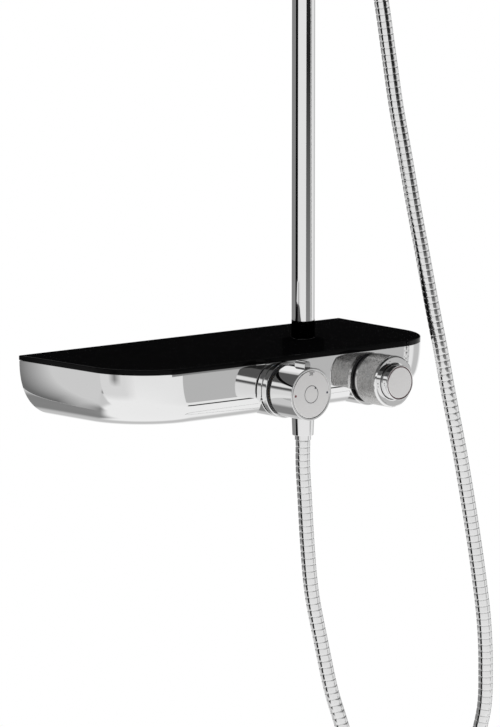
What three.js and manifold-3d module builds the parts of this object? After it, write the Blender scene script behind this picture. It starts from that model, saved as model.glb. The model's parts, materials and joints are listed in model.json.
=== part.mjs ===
// Rainfall shower column: a thermostatic shower mixer under a glass shelf, a riser pipe
// with a sliding hand-shower holder, and a swivelling overhead arm with a rain head.
//
// Millimetres. +X runs along the wall to the right, +Y points into the wall, +Z is up.
// The origin is on the wall plane, midway between the hot and the cold water inlet.

import * as THREE from 'three';
import { mergeVertices } from 'three/addons/utils/BufferGeometryUtils.js';
import Module from 'manifold-3d';

const wasm = await Module();
wasm.setup();

// ---------------------------------------------------------------- driving dimensions

const GAP = 0.3;                   // clearance kept between touching pieces

// sides of round pieces, by their size
const FINE = 30;
const MEDIUM = 22;
const COARSE = 16;
const SMALL = 8;

// glass shelf and the casing below it share one plan outline
const SHELF_WIDTH = 393;
const SHELF_DEPTH = 162;
const SHELF_BACK_Y = -10;
const SHELF_TOP_Z = 30.6;
const SHELF_THICKNESS = 4.4;
const CORNER_RADIUS = 58;
const END_TAPER = 0.044;           // how much narrower the plan is at its front
const FRONT_BOW = 1.8;             // how far the front edge bulges in its middle
const FRONT_Y = SHELF_BACK_Y - SHELF_DEPTH;

const CASING_HEIGHT = 55.2;
const CASING_WALL = 3;
const CASING_BACK_Y = -10.6;
const CASING_SIDE_CURVE = 50;      // how far the ends curve in by the underside
const CASING_FRONT_CURVE = 72;     // how far the front curves in by the underside
const CASING_FRONT_FLAT = 26.5;    // height of the upright front face
const CASING_CURVE_POWER = 2.3;    // 2 is an ellipse, more is squarer

// water inlets, standard 150 mm apart
const INLET_X = 75;
const ESCUTCHEON_RADIUS = 27.5;
const ESCUTCHEON_DEPTH = 9.5;
const UNION_RADIUS = 13;

// riser pipe, and the hose outlet on the same axis
const RISER_X = 73.6;
const RISER_Y = -99.2;
const RISER_RADIUS = 11;
const RISER_BORE = 9.5;
const RISER_TOP_Z = 1086;
const BRACKET_Z = 1040;

// control knobs on the front, measured forward of the front face
const TEMPERATURE_X = -15.8;
const FLOW_X = 94.1;
const KNOB_RADIUS = 24.4;
const BOSS_RADIUS = 26;
const COLLAR_DEPTH = 6.4;
const BOSS_LENGTH = 52;
const TEMPERATURE_BORE = 16.5;       // cartridge seats in the valve body
const FLOW_BORE = 14.5;
const TEMPERATURE_START = 12.4;
const TEMPERATURE_END = 42.2;
const FLOW_START = 3;
const FLOW_END = 31.6;
const BEZEL_END = 33.6;
const PUSH_RADIUS = 16.4;
const PUSH_END = 41.6;
const PUSH_TRAVEL = 4;

// hand-shower holder on the riser
const SLIDER_Z = 692;
const SLIDER_HEIGHT = 58;
const SLIDER_RADIUS = 19;
const HOLDER_REACH = 62;           // riser axis to the middle of the holder cone
const HANDSET_TILT = THREE.MathUtils.degToRad(20);

// overhead arm and rain head
const ARM_RADIUS = 10;
const ARM_BORE = 8.2;
const ARM_HEIGHT = 1168;
const ARM_REACH = 420;             // riser axis to the middle of the rain head
const ARM_BEND = 60;
const ARM_END_Z = 1118;
const BALL_Z = 1101;
const BALL_RADIUS = 9.5;
const BALL_NECK_RADIUS = 5.5;
const BALL_NECK_DROP = 12;           // ball centre to the end of its neck
const HEAD_DROP = 13.3;              // ball centre to the top of the rain head
const HEAD_RADIUS = 125;

// hose
const HOSE_RADIUS = 7;
const HOSE_SIDES = 8;                // an even number
const HOSE_STEPS = 48;
const HOSE_NUT_TOP_Z = -38;
const HOSE_NUT_BOTTOM_Z = -61;

// ---------------------------------------------------------------- colours

const CHROME = { color: 0xd6d9db, roughness: 0.08, metalness: 1 };
const SATIN = { color: 0xb9bcbd, roughness: 0.38, metalness: 1 };
const BRASS = { color: 0xb28a45, roughness: 0.4, metalness: 1 };
const STEEL = { color: 0x9da1a3, roughness: 0.35, metalness: 1 };
const BLACK_GLASS = { color: 0x050506, roughness: 0.12, metalness: 0 };
const BLACK_PLASTIC = { color: 0x0b0b0c, roughness: 0.5, metalness: 0 };
const GREY_PLASTIC = { color: 0x8b8e90, roughness: 0.5, metalness: 0 };
const WHITE_PLASTIC = { color: 0xe9eaea, roughness: 0.45, metalness: 0 };
const RUBBER = { color: 0x1b1b1c, roughness: 0.8, metalness: 0 };
const SILICONE = { color: 0xc9cdd0, roughness: 0.6, metalness: 0 };

// ---------------------------------------------------------------- geometry helpers

const object = new THREE.Group();

// Leaves one closed mesh: shared corners, no slivers of zero area, faces pointing out.
function weld(geometry) {
  const plain = geometry.clone();
  plain.deleteAttribute('normal');
  plain.deleteAttribute('uv');
  const merged = mergeVertices(plain, 1e-4);
  const source = merged.index.array;
  const kept = [];
  for (let i = 0; i < source.length; i += 3) {
    const [a, b, c] = [source[i], source[i + 1], source[i + 2]];
    if (a !== b && b !== c && c !== a) kept.push(a, b, c);
  }
  merged.setIndex(kept);
  if (signedVolume(merged) < 0) {
    for (let i = 0; i < kept.length; i += 3) {
      [kept[i], kept[i + 1]] = [kept[i + 1], kept[i]];
    }
    merged.setIndex(kept);
  }
  merged.computeVertexNormals();
  return merged;
}

function signedVolume(geometry) {
  const position = geometry.attributes.position;
  const index = geometry.index.array;
  const [a, b, c] = [new THREE.Vector3(), new THREE.Vector3(), new THREE.Vector3()];
  let volume = 0;
  for (let i = 0; i < index.length; i += 3) {
    a.fromBufferAttribute(position, index[i]);
    b.fromBufferAttribute(position, index[i + 1]);
    c.fromBufferAttribute(position, index[i + 2]);
    volume += a.dot(b.cross(c)) / 6;
  }
  return volume;
}

function toSolid(geometry) {
  const welded = weld(geometry);
  return new wasm.Manifold(new wasm.Mesh({
    numProp: 3,
    vertProperties: new Float32Array(welded.attributes.position.array),
    triVerts: new Uint32Array(welded.index.array),
  }));
}

function fromSolid(solid) {
  const mesh = solid.getMesh();
  const geometry = new THREE.BufferGeometry();
  geometry.setAttribute('position', new THREE.BufferAttribute(mesh.vertProperties, 3));
  geometry.setIndex(new THREE.BufferAttribute(mesh.triVerts, 1));
  return geometry;
}

// Joins the added geometries, then cuts the others out of them.
function combine(added, cut = []) {
  let solid = toSolid(added[0]);
  for (const geometry of added.slice(1)) solid = solid.add(toSolid(geometry));
  for (const geometry of cut) solid = solid.subtract(toSolid(geometry));
  return fromSolid(solid);
}

// Turns a profile of [radius, height] points about the Z axis.
function turned(profile, segments = COARSE) {
  const points = profile.map(([radius, height]) => new THREE.Vector2(radius, height));
  return new THREE.LatheGeometry(points, segments).rotateX(Math.PI / 2);
}

function disc(radius, low, high, segments = COARSE) {
  return turned([[0, low], [radius, low], [radius, high], [0, high]], segments);
}

function ring(outer, inner, low, high, segments = COARSE) {
  const profile = [[inner, low], [outer, low], [outer, high], [inner, high], [inner, low]];
  return turned(profile, segments);
}

// Lays a Z-axis turning on its side, so that its height runs forward from the wall.
function forward(geometry, x, y, z = 0) {
  return geometry.rotateX(Math.PI / 2).translate(x, y, z);
}

function box(x0, x1, y0, y1, z0, z1) {
  const geometry = new THREE.BoxGeometry(x1 - x0, y1 - y0, z1 - z0);
  return geometry.translate((x0 + x1) / 2, (y0 + y1) / 2, (z0 + z1) / 2);
}

// Skins a stack of rings that have the same number of corners, with flat ends.
function loft(rings) {
  const count = rings[0].length;
  const positions = rings.flat().flatMap((point) => [point.x, point.y, point.z]);
  const index = [];
  for (let level = 0; level + 1 < rings.length; level += 1) {
    for (let i = 0; i < count; i += 1) {
      const [a, b] = [level * count + i, level * count + (i + 1) % count];
      index.push(a, b, b + count, a, b + count, a + count);
    }
  }
  const last = (rings.length - 1) * count;
  for (let i = 1; i + 1 < count; i += 1) {
    index.push(0, i + 1, i);
    index.push(last, last + i, last + i + 1);
  }
  const geometry = new THREE.BufferGeometry();
  geometry.setAttribute('position', new THREE.Float32BufferAttribute(positions, 3));
  geometry.setIndex(index);
  return geometry;
}

// A tube of the given section swept along a curve.
function swept(curve, steps, outer, sides, inner = 0) {
  const section = new THREE.Shape().absarc(0, 0, outer, 0, 2 * Math.PI);
  if (inner > 0) section.holes.push(new THREE.Path().absarc(0, 0, inner, 0, 2 * Math.PI));
  return new THREE.ExtrudeGeometry(section, {
    steps, curveSegments: sides / 2, extrudePath: curve, bevelEnabled: false,
  });
}

// A coil spring along Z, with its ends closed by the wire's own ends.
function spring(radius, wire, low, high, turns) {
  class Helix extends THREE.Curve {
    getPoint(t) {
      const angle = 2 * Math.PI * turns * t;
      const height = low + wire + (high - low - 2 * wire) * t;
      return new THREE.Vector3(radius * Math.cos(angle), radius * Math.sin(angle), height);
    }
  }
  return swept(new Helix(), turns * 8, wire, 4);
}

function add(name, finish, geometry) {
  const material = new THREE.MeshStandardMaterial(finish);
  const mesh = new THREE.Mesh(weld(geometry), material);
  mesh.name = name;
  object.add(mesh);
}

// ---------------------------------------------------------------- plan outline

// The D-shaped plan, from the back-left corner round the front to the back-right one.
function planOutline(z, sideInset, frontInset, backY, cornerSteps = 6) {
  const half = SHELF_WIDTH / 2 - sideInset;
  const front = FRONT_Y + frontInset;
  const radius = Math.min(CORNER_RADIUS, half - 1, backY - front - 6);
  const corner = [];
  for (let i = 0; i <= cornerSteps; i += 1) {
    const angle = Math.PI / 2 * i / cornerSteps;
    const x = half - radius + radius * Math.cos(angle);
    corner.push([x, front + radius - radius * Math.sin(angle)]);
  }
  const right = [[half, backY], ...corner, [(half - radius) / 2, front]];
  const left = right.map(([x, y]) => [-x, y]);
  const outline = [...left, [0, front], ...right.reverse()];
  return outline.map(([x, y]) => {
    const forwardness = (SHELF_BACK_Y - y) / SHELF_DEPTH;
    const bow = FRONT_BOW * (1 - (x / half) ** 2) * forwardness;
    return new THREE.Vector3(x * (1 - END_TAPER * forwardness), y - bow, z);
  });
}

// One level of the casing's outside, at a share of its height below the glass.
function casingRing(drop, wall, topZ) {
  const power = CASING_CURVE_POWER;
  const curveIn = (share) => 1 - Math.max(0, 1 - share ** power) ** (1 / power);
  const height = CASING_HEIGHT - wall;
  const share = Math.min(1, drop / height);
  const frontShare = Math.max(0, (drop - CASING_FRONT_FLAT) / (height - CASING_FRONT_FLAT));
  const side = wall + CASING_SIDE_CURVE * curveIn(share);
  const front = wall + CASING_FRONT_CURVE * curveIn(Math.min(1, frontShare));
  return planOutline(topZ - drop, side, front, CASING_BACK_Y - wall);
}

function casingShape(wall, topZ, levels) {
  const rings = [];
  for (let i = levels; i >= 0; i -= 1) {
    const drop = (CASING_HEIGHT - wall) * Math.sin(Math.PI / 2 * i / levels);
    rings.push(casingRing(drop, wall, topZ));
  }
  return rings;
}

// ---------------------------------------------------------------- mixer body

const GLASS_UNDER_Z = SHELF_TOP_Z - SHELF_THICKNESS;
const CASING_TOP_Z = GLASS_UNDER_Z - GAP;
const SUPPORT_THICKNESS = 3;

function plate(inset, backY, low, high, cornerSteps = 7) {
  return loft([planOutline(low, inset, inset, backY, cornerSteps),
    planOutline(high, inset, inset, backY, cornerSteps)]);
}

function addShelf() {
  const hole = disc(RISER_RADIUS + GAP, 0, 60).translate(RISER_X, RISER_Y, 0);
  const glass = plate(0, SHELF_BACK_Y, GLASS_UNDER_Z, SHELF_TOP_Z, 12);
  add('glass_shelf', BLACK_GLASS, combine([glass], [hole]));

  const top = GLASS_UNDER_Z - GAP;
  const support = plate(CASING_WALL + 1, CASING_BACK_Y - CASING_WALL - GAP,
    top - SUPPORT_THICKNESS, top);
  add('shelf_support', BLACK_PLASTIC, combine([support], [hole]));
}

function addCasing() {
  const outside = loft(casingShape(0, CASING_TOP_Z, 8));
  const cavityRings = casingShape(CASING_WALL, CASING_TOP_Z, 5);
  const lid = planOutline(CASING_TOP_Z + 5, CASING_WALL, CASING_WALL,
    CASING_BACK_Y - CASING_WALL);
  const cavity = loft([...cavityRings, lid]);
  const bossStart = FRONT_Y + 0.2;
  const added = [outside];
  const cut = [cavity];
  for (const [x, bore] of [[TEMPERATURE_X, TEMPERATURE_BORE], [FLOW_X, FLOW_BORE]]) {
    added.push(forward(disc(BOSS_RADIUS, 0, BOSS_LENGTH, MEDIUM), x, bossStart + BOSS_LENGTH));
    cut.push(forward(disc(bore + 4, 0, 80), x, FRONT_Y + 75));
  }
  for (const x of [-INLET_X, INLET_X]) {
    cut.push(forward(disc(UNION_RADIUS + 6, -5, 8), x, CASING_BACK_Y));
  }
  cut.push(disc(OUTLET_RADIUS + 0.5, -40, 0).translate(RISER_X, RISER_Y, 0));
  add('body_casing', CHROME, combine(added, cut));
}

const PORT_LENGTH = 48;              // valve axis to its two inlet ports
const SEAT_LENGTH = 51;              // valve axis to the ends of the cartridge seats
const SEAL_RADIUS = 14.5;
const RISER_SOCKET_TOP_Z = 17.5;
const RISER_START_Z = 5;
const OUTLET_RADIUS = 11.5;

function addValveBody() {
  const barrelRadius = 18;
  const barrel = disc(barrelRadius, -INLET_X - barrelRadius, FLOW_X + 22).rotateY(Math.PI / 2);
  const added = [barrel.translate(0, RISER_Y, 0)];
  const cut = [];
  for (const x of [-INLET_X, INLET_X]) {
    added.push(forward(disc(13, 0, PORT_LENGTH), x, RISER_Y + PORT_LENGTH));
    cut.push(forward(disc(9, -1, PORT_LENGTH - 8), x, RISER_Y + PORT_LENGTH));
  }
  for (const [x, bore, floor] of [[TEMPERATURE_X, TEMPERATURE_BORE, 4], [FLOW_X, FLOW_BORE, 14]]) {
    added.push(forward(disc(bore + 3, 0, SEAT_LENGTH), x, RISER_Y));
    cut.push(forward(disc(bore, floor, SEAT_LENGTH + 9), x, RISER_Y));
  }
  const onRiser = (geometry) => geometry.translate(RISER_X, RISER_Y, 0);
  added.push(onRiser(disc(SEAL_RADIUS, 0, RISER_SOCKET_TOP_Z)));
  cut.push(onRiser(disc(RISER_RADIUS + GAP, RISER_START_Z, 30)));
  added.push(onRiser(disc(OUTLET_RADIUS, -24, 0)));
  cut.push(onRiser(disc(8.6, -30, -8)));
  add('valve_body', BRASS, combine(added, cut));
}

function addInlets() {
  const portEnd = RISER_Y + PORT_LENGTH;
  for (const [side, x] of [['hot', -INLET_X], ['cold', INLET_X]]) {
    const dish = turned([[14, 0], [ESCUTCHEON_RADIUS, 0], [ESCUTCHEON_RADIUS, 4],
      [25, ESCUTCHEON_DEPTH], [14, ESCUTCHEON_DEPTH], [14, 0]], MEDIUM);
    add(`${side}_escutcheon`, CHROME, forward(dish, x, 0));

    const bore = 8.5;
    const flange = UNION_RADIUS + 4;
    const stubEnd = 44;
    const stub = turned([[bore, 1], [UNION_RADIUS, 1], [UNION_RADIUS, stubEnd - 4],
      [flange, stubEnd - 4], [flange, stubEnd], [bore, stubEnd], [bore, 1]]);
    add(`${side}_inlet_union`, BRASS, forward(stub, x, 0));

    add(`${side}_filter_washer`, RUBBER,
      forward(ring(12.5, 7, stubEnd + GAP, -portEnd - GAP), x, 0));

    const nut = turned([[UNION_RADIUS + 1, 36], [22, 36], [22, 58], [14.5, 58],
      [14.5, 52], [flange + 1.5, 52], [flange + 1.5, 39.7], [UNION_RADIUS + 1, 39.7],
      [UNION_RADIUS + 1, 36]], 12);
    add(`${side}_union_nut`, BRASS, forward(nut, x, 0));

    const valve = turned([[0, 0], [8.6, 0], [8.6, 6], [6, 8], [6, 18], [0, 20]], SMALL);
    add(`${side}_check_valve`, GREY_PLASTIC, forward(valve, x, portEnd - 3));
  }
}

// ---------------------------------------------------------------- temperature control

function temperatureShell() {
  const shell = turned([[0, TEMPERATURE_START], [KNOB_RADIUS - 0.6, TEMPERATURE_START],
    [KNOB_RADIUS, TEMPERATURE_START + 0.6], [KNOB_RADIUS, TEMPERATURE_END - 0.8],
    [KNOB_RADIUS - 0.7, TEMPERATURE_END], [0, TEMPERATURE_END]], FINE);
  return forward(shell, TEMPERATURE_X, FRONT_Y);
}

function addTemperatureControl() {
  const bore = BOSS_RADIUS - 3.8;
  const collar = turned([[bore, 0.3], [BOSS_RADIUS - 0.4, 0.3], [BOSS_RADIUS, 1],
    [BOSS_RADIUS, COLLAR_DEPTH - 0.6], [BOSS_RADIUS - 0.6, COLLAR_DEPTH], [bore, COLLAR_DEPTH],
    [bore, 0.3]], MEDIUM);
  add('temperature_collar', CHROME, forward(collar, TEMPERATURE_X, FRONT_Y - FRONT_BOW));

  const baseRing = ring(21.4, 17.6, COLLAR_DEPTH + 2.2, TEMPERATURE_START - GAP, MEDIUM);
  add('temperature_stop_ring', BLACK_PLASTIC, forward(baseRing, TEMPERATURE_X, FRONT_Y));

  const body = TEMPERATURE_BORE - GAP;
  const stemLength = 76;
  const cartridge = turned([[0, 0], [12, 0], [12, 6], [body, 8], [body, 44], [13, 46],
    [13, 58], [5, 58], [5, stemLength], [0, stemLength]]);
  const cartridgeStart = RISER_Y - 5;
  add('thermostatic_cartridge', BRASS, forward(cartridge, TEMPERATURE_X, cartridgeStart));

  const nutStart = -RISER_Y + SEAT_LENGTH + GAP;
  const nut = ring(TEMPERATURE_BORE + 2.8, 13.4, nutStart, nutStart + 12);
  add('thermostat_nut', BRASS, forward(nut, TEMPERATURE_X, 0));

  const inside = forward(disc(14, 0, 17), TEMPERATURE_X, FRONT_Y - TEMPERATURE_START + 1);
  const stemHole = forward(disc(5.4, 0, 24, SMALL), TEMPERATURE_X, FRONT_Y - 20);
  const faceSeat = forward(disc(22.2, 0, 5, MEDIUM), TEMPERATURE_X,
    FRONT_Y - TEMPERATURE_END + 1.4);
  const slot = box(TEMPERATURE_X - 4.3, TEMPERATURE_X + 4.3, FRONT_Y - 37.4, FRONT_Y - 22.6,
    15.5, 30);
  add('temperature_knob', CHROME,
    combine([temperatureShell()], [inside, stemHole, faceSeat, slot]));

  const screw = turned([[0, 0], [2.4, 0], [2.4, 3], [4, 3], [4, 6], [0, 6]], SMALL);
  add('knob_screw', STEEL,
    forward(screw, TEMPERATURE_X, cartridgeStart - stemLength - GAP));

  const face = disc(21.9, 0, 1.3, MEDIUM);
  add('temperature_knob_face', SATIN,
    forward(face, TEMPERATURE_X, FRONT_Y - TEMPERATURE_END + 1.1));
}

function addSafetyButton() {
  const half = 3.9;
  const outline = new THREE.Shape([[-half, 18.6], [half, 18.6], [half, 27.4], [half - 1.8, 29.6],
    [-half + 1.8, 29.6], [-half, 27.4]].map(([x, z]) => new THREE.Vector2(x, z)));
  const block = new THREE.ExtrudeGeometry(outline, { depth: 14, bevelEnabled: false });
  block.rotateX(Math.PI / 2).translate(TEMPERATURE_X, FRONT_Y - 23, 0);
  add('safety_button', CHROME, block);

  const coil = spring(2.2, 0.35, 15.8, 18.3, 3).translate(TEMPERATURE_X, FRONT_Y - 30, 0);
  add('safety_button_spring', STEEL, coil);
}

// ---------------------------------------------------------------- flow control

function addFlowControl() {
  const baseRing = turned([[18.6, 0.6], [22, 0.6], [23, 1.2], [23, FLOW_START - GAP],
    [18.6, FLOW_START - GAP], [18.6, 0.6]], MEDIUM);
  add('flow_stop_ring', BLACK_PLASTIC, forward(baseRing, FLOW_X, FRONT_Y - FRONT_BOW));

  const body = FLOW_BORE - GAP;
  const cartridgeLength = 51;
  const cartridge = turned([[0, 0], [body, 0], [body, 34], [11, 36], [11, 44], [7, 44],
    [7, cartridgeLength], [0, cartridgeLength]]);
  const cartridgeStart = RISER_Y - 14.5;
  add('flow_cartridge', BRASS, forward(cartridge, FLOW_X, cartridgeStart));

  const start = FLOW_START + FRONT_BOW;
  const bore = PUSH_RADIUS + 0.5;
  const grip = turned([[bore, start], [23.2, start], [23.8, start + 0.6], [23.8, start + 2.6],
    [KNOB_RADIUS, start + 3], [KNOB_RADIUS, FLOW_END - GAP], [bore, FLOW_END - GAP],
    [bore, start]], FINE);
  add('flow_knob', SATIN, forward(grip, FLOW_X, FRONT_Y));

  const bezel = turned([[bore, FLOW_END], [KNOB_RADIUS - 0.1, FLOW_END],
    [KNOB_RADIUS - 0.4, BEZEL_END - 0.8], [KNOB_RADIUS - 1.6, BEZEL_END],
    [bore, BEZEL_END - 0.4], [bore, FLOW_END]], FINE);
  add('flow_knob_bezel', CHROME, forward(bezel, FLOW_X, FRONT_Y));

  const restGap = PUSH_TRAVEL + 1;
  const stemEnd = cartridgeStart - cartridgeLength;
  const pushStart = -stemEnd + restGap + FRONT_Y;
  const push = turned([[0, pushStart], [PUSH_RADIUS, pushStart], [PUSH_RADIUS, PUSH_END - 1.2],
    [PUSH_RADIUS - 1.2, PUSH_END], [15, PUSH_END], [15, PUSH_END - 1.5], [0, PUSH_END - 1.5]],
  MEDIUM);
  add('push_button', CHROME, forward(push, FLOW_X, FRONT_Y));

  const cap = disc(14.6, PUSH_END - 1.5 + GAP, PUSH_END + 0.1, MEDIUM);
  add('push_button_face', SATIN, forward(cap, FLOW_X, FRONT_Y));

  const coil = spring(9.5, 0.6, -stemEnd - 6.6, -stemEnd + restGap - GAP, 3);
  add('push_button_spring', STEEL, forward(coil, FLOW_X, 0));
}

// ---------------------------------------------------------------- riser and its wall bracket

function addRiser() {
  const pipe = ring(RISER_RADIUS, RISER_BORE, RISER_START_Z + GAP, RISER_TOP_Z, MEDIUM);
  add('riser_pipe', CHROME, pipe.translate(RISER_X, RISER_Y, 0));

  const seal = ring(SEAL_RADIUS, RISER_RADIUS + GAP, RISER_SOCKET_TOP_Z + 0.8, 22.4);
  add('riser_seal', RUBBER, seal.translate(RISER_X, RISER_Y, 0));
}

function addWallBracket() {
  const wallPlate = turned([[0, 0.4], [20, 0.4], [20, 4], [9, 4], [9, 9], [0, 9]]);
  const screws = [['upper', BRACKET_Z + 13.5], ['lower', BRACKET_Z - 13.5]];
  const holes = screws.map(([, z]) => forward(disc(2.6, -1, 6, SMALL), RISER_X, 0, z));
  const seat = forward(wallPlate, RISER_X, 0, BRACKET_Z);
  add('bracket_wall_plate', STEEL, combine([seat], holes));

  for (const [name, z] of screws) {
    const screw = turned([[0, 0.4], [2.2, 0.4], [2.2, 4 + GAP], [4, 4 + GAP], [3, 6.4],
      [0, 6.4]], SMALL);
    add(`bracket_screw_${name}`, STEEL, forward(screw, RISER_X, 0, z));
  }

  const cover = turned([[23.4, 0], [26, 0], [26, 8.4], [13.6, 8.4], [13.6, 7],
    [23.4, 7], [23.4, 0]], MEDIUM);
  add('bracket_rosette', CHROME, forward(cover, RISER_X, 0, BRACKET_Z));

  const post = forward(disc(13, 7, -RISER_Y - 8), RISER_X, 0, BRACKET_Z);
  const socket = forward(disc(9.3, 0, 9.4), RISER_X, 0, BRACKET_Z);
  const clamp = disc(16, -13, 13, MEDIUM).translate(RISER_X, RISER_Y, BRACKET_Z);
  const onRiser = (geometry) => geometry.translate(RISER_X, RISER_Y, BRACKET_Z);
  const underPost = (geometry) => geometry.translate(RISER_X, RISER_Y + 40, BRACKET_Z);
  const pipeHole = onRiser(disc(RISER_RADIUS + GAP, -20, 20, MEDIUM));
  const setHole = underPost(disc(2, -20, -4, SMALL));
  add('bracket_post', CHROME, combine([post, clamp], [socket, pipeHole, setHole]));

  add('bracket_set_screw', STEEL, underPost(disc(1.7, -12.4, -4 - GAP, SMALL)));
}

// ---------------------------------------------------------------- overhead shower

function addArm() {
  const collar = turned([[RISER_RADIUS + GAP, RISER_TOP_Z - 14], [14, RISER_TOP_Z - 14],
    [15, RISER_TOP_Z - 13], [15, RISER_TOP_Z + 1], [RISER_RADIUS + GAP, RISER_TOP_Z + 1],
    [RISER_RADIUS + GAP, RISER_TOP_Z - 14]], MEDIUM);
  add('swivel_collar', CHROME, collar.translate(RISER_X, RISER_Y, 0));

  const washer = ring(14, 8.4, RISER_TOP_Z + 1 + GAP, RISER_TOP_Z + 3);
  add('swivel_washer', RUBBER, washer.translate(RISER_X, RISER_Y, 0));

  const start = RISER_TOP_Z + 3 + GAP;
  const cap = turned([[ARM_BORE, start], [15, start], [15, start + 9], [13, start + 12],
    [ARM_BORE, start + 12], [ARM_BORE, start]], MEDIUM);
  const [x, y, end] = [RISER_X, RISER_Y, RISER_Y - ARM_REACH];
  const path = new THREE.CurvePath();
  const bend = (from, corner, to) => {
    path.add(new THREE.QuadraticBezierCurve3(from, corner, to));
  };
  const point = (py, pz) => new THREE.Vector3(x, py, pz);
  path.add(new THREE.LineCurve3(point(y, start + 1), point(y, ARM_HEIGHT - ARM_BEND)));
  bend(point(y, ARM_HEIGHT - ARM_BEND), point(y, ARM_HEIGHT), point(y - ARM_BEND, ARM_HEIGHT));
  path.add(new THREE.LineCurve3(point(y - ARM_BEND, ARM_HEIGHT),
    point(end + 40, ARM_HEIGHT)));
  bend(point(end + 40, ARM_HEIGHT), point(end, ARM_HEIGHT), point(end, ARM_END_Z + 4));
  const tube = swept(path, 20, ARM_RADIUS, 12);
  const tip = turned([[0, ARM_END_Z + 14], [12, ARM_END_Z + 14], [12, ARM_END_Z],
    [0, ARM_END_Z]]).translate(x, end, 0);
  const well = disc(7, ARM_END_Z - 5, ARM_END_Z + 10).translate(x, end, 0);
  const foot = disc(ARM_BORE + 0.5, start - 5, start + 6).translate(x, y, 0);
  add('overhead_arm', CHROME, combine([tube, cap.translate(x, y, 0), tip], [well, foot]));
}

function addRainHead() {
  const place = (geometry) => geometry.translate(RISER_X, RISER_Y - ARM_REACH, 0);
  const nutTop = ARM_END_Z - GAP;
  const socket = BALL_RADIUS + GAP;
  const nut = turned([[7, nutTop], [15, nutTop], [16, nutTop - 2], [16, BALL_Z - 4],
    [socket * 0.93, BALL_Z - 4], [socket, BALL_Z], [socket * 0.9, BALL_Z + 5],
    [7, BALL_Z + 9], [7, nutTop]], MEDIUM);
  add('ball_nut', CHROME, place(nut));

  const ballProfile = [];
  for (let i = 0; i <= 5; i += 1) {
    const angle = Math.PI / 2 - Math.PI * 0.8 * i / 5;
    ballProfile.push([BALL_RADIUS * Math.cos(angle), BALL_Z + BALL_RADIUS * Math.sin(angle)]);
  }
  ballProfile[0] = [0, BALL_Z + BALL_RADIUS];
  const neckEnd = BALL_Z - BALL_NECK_DROP;
  ballProfile.push([BALL_NECK_RADIUS, BALL_Z - 9.4], [BALL_NECK_RADIUS, neckEnd], [0, neckEnd]);
  ballProfile[5] = [BALL_NECK_RADIUS + 0.1, BALL_Z - BALL_RADIUS * 0.81];
  add('overhead_ball', BRASS, place(turned(ballProfile, 24)));

  const top = BALL_Z - HEAD_DROP;
  const rim = top - 15;
  const shell = turned([[0, top], [13, top], [14, top - 1], [14, top - 6], [40, top - 8],
    [HEAD_RADIUS - 3, rim + 4.5], [HEAD_RADIUS, rim + 2.5], [HEAD_RADIUS, rim - 3],
    [HEAD_RADIUS - 3, rim - 3], [HEAD_RADIUS - 3, rim + 1.5], [40, top - 11], [0, top - 11]], FINE);
  add('overhead_shell', CHROME, place(shell));

  const mat = disc(HEAD_RADIUS - 3.4, rim - 1.4, rim + 0.4, FINE);
  const nozzles = [];
  for (let circle = 1; circle <= 2; circle += 1) {
    const count = circle * 6;
    for (let i = 0; i < count; i += 1) {
      const angle = 2 * Math.PI * (i + circle / 2) / count;
      const radius = circle * 48;
      const tip = turned([[0, rim - 0.8], [2.4, rim - 0.8], [1.5, rim - 5.4], [0, rim - 5.4]], 5);
      nozzles.push(tip.translate(radius * Math.cos(angle), radius * Math.sin(angle), 0));
    }
  }
  add('overhead_nozzle_mat', SILICONE, place(combine([mat, ...nozzles])));

  const chamber = ring(HEAD_RADIUS - 4, 30, rim + 0.7, rim + 1.3, MEDIUM);
  const hub = ring(36, 30, rim + 0.7, rim + 2.6, MEDIUM);
  add('overhead_spray_plate', WHITE_PLASTIC, place(combine([chamber, hub])));
}

// ---------------------------------------------------------------- hand shower and its holder

// Puts a Z-axis shape on the tilted axis of the holder cone.
function onHolder(geometry) {
  return geometry.rotateX(HANDSET_TILT)
    .translate(RISER_X, RISER_Y - HOLDER_REACH, SLIDER_Z - 10);
}

// Lays a Z-axis shape on the axis of the slider's release button, which points to +X.
function towardsButton(geometry) {
  return geometry.rotateY(Math.PI / 2).translate(RISER_X, RISER_Y, SLIDER_Z + 4);
}

function addSlider() {
  const half = SLIDER_HEIGHT / 2;
  const hub = turned([[0, -half], [SLIDER_RADIUS - 2, -half], [SLIDER_RADIUS, 2 - half],
    [SLIDER_RADIUS, half - 2], [SLIDER_RADIUS - 2, half], [0, half]], MEDIUM);
  hub.translate(RISER_X, RISER_Y, SLIDER_Z);
  const arm = forward(disc(12, 0, HOLDER_REACH - 14), RISER_X, RISER_Y, SLIDER_Z - 8);
  const cup = onHolder(turned([[0, -18], [16.5, -18], [19, 14], [0, 14]], MEDIUM));
  const cone = onHolder(turned([[0, -19], [10.9, -19], [14, 15], [0, 15]], MEDIUM));
  const mouth = onHolder(box(-8.2, 8.2, -26, 0, -30, 20));
  const pipeHole = disc(RISER_RADIUS + 2, -40, 40, MEDIUM).translate(RISER_X, RISER_Y, SLIDER_Z);
  const buttonHole = towardsButton(disc(8.3, 10, 40));
  add('slider_body', CHROME, combine([hub, arm, cup], [cone, mouth, pipeHole, buttonHole]));

  const bush = ring(RISER_RADIUS + 1.7, RISER_RADIUS + GAP, -half + 2, half - 2, MEDIUM);
  add('slider_bush', GREY_PLASTIC, bush.translate(RISER_X, RISER_Y, SLIDER_Z));
}

function addSliderButton() {
  const button = turned([[0, 17], [7.9, 17], [7.9, 24], [6.8, 25], [0, 25]]);
  add('slider_button', CHROME, towardsButton(button));
  add('slider_button_spring', STEEL, towardsButton(spring(4, 0.5, 13.2, 16.7, 3)));
}

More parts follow.
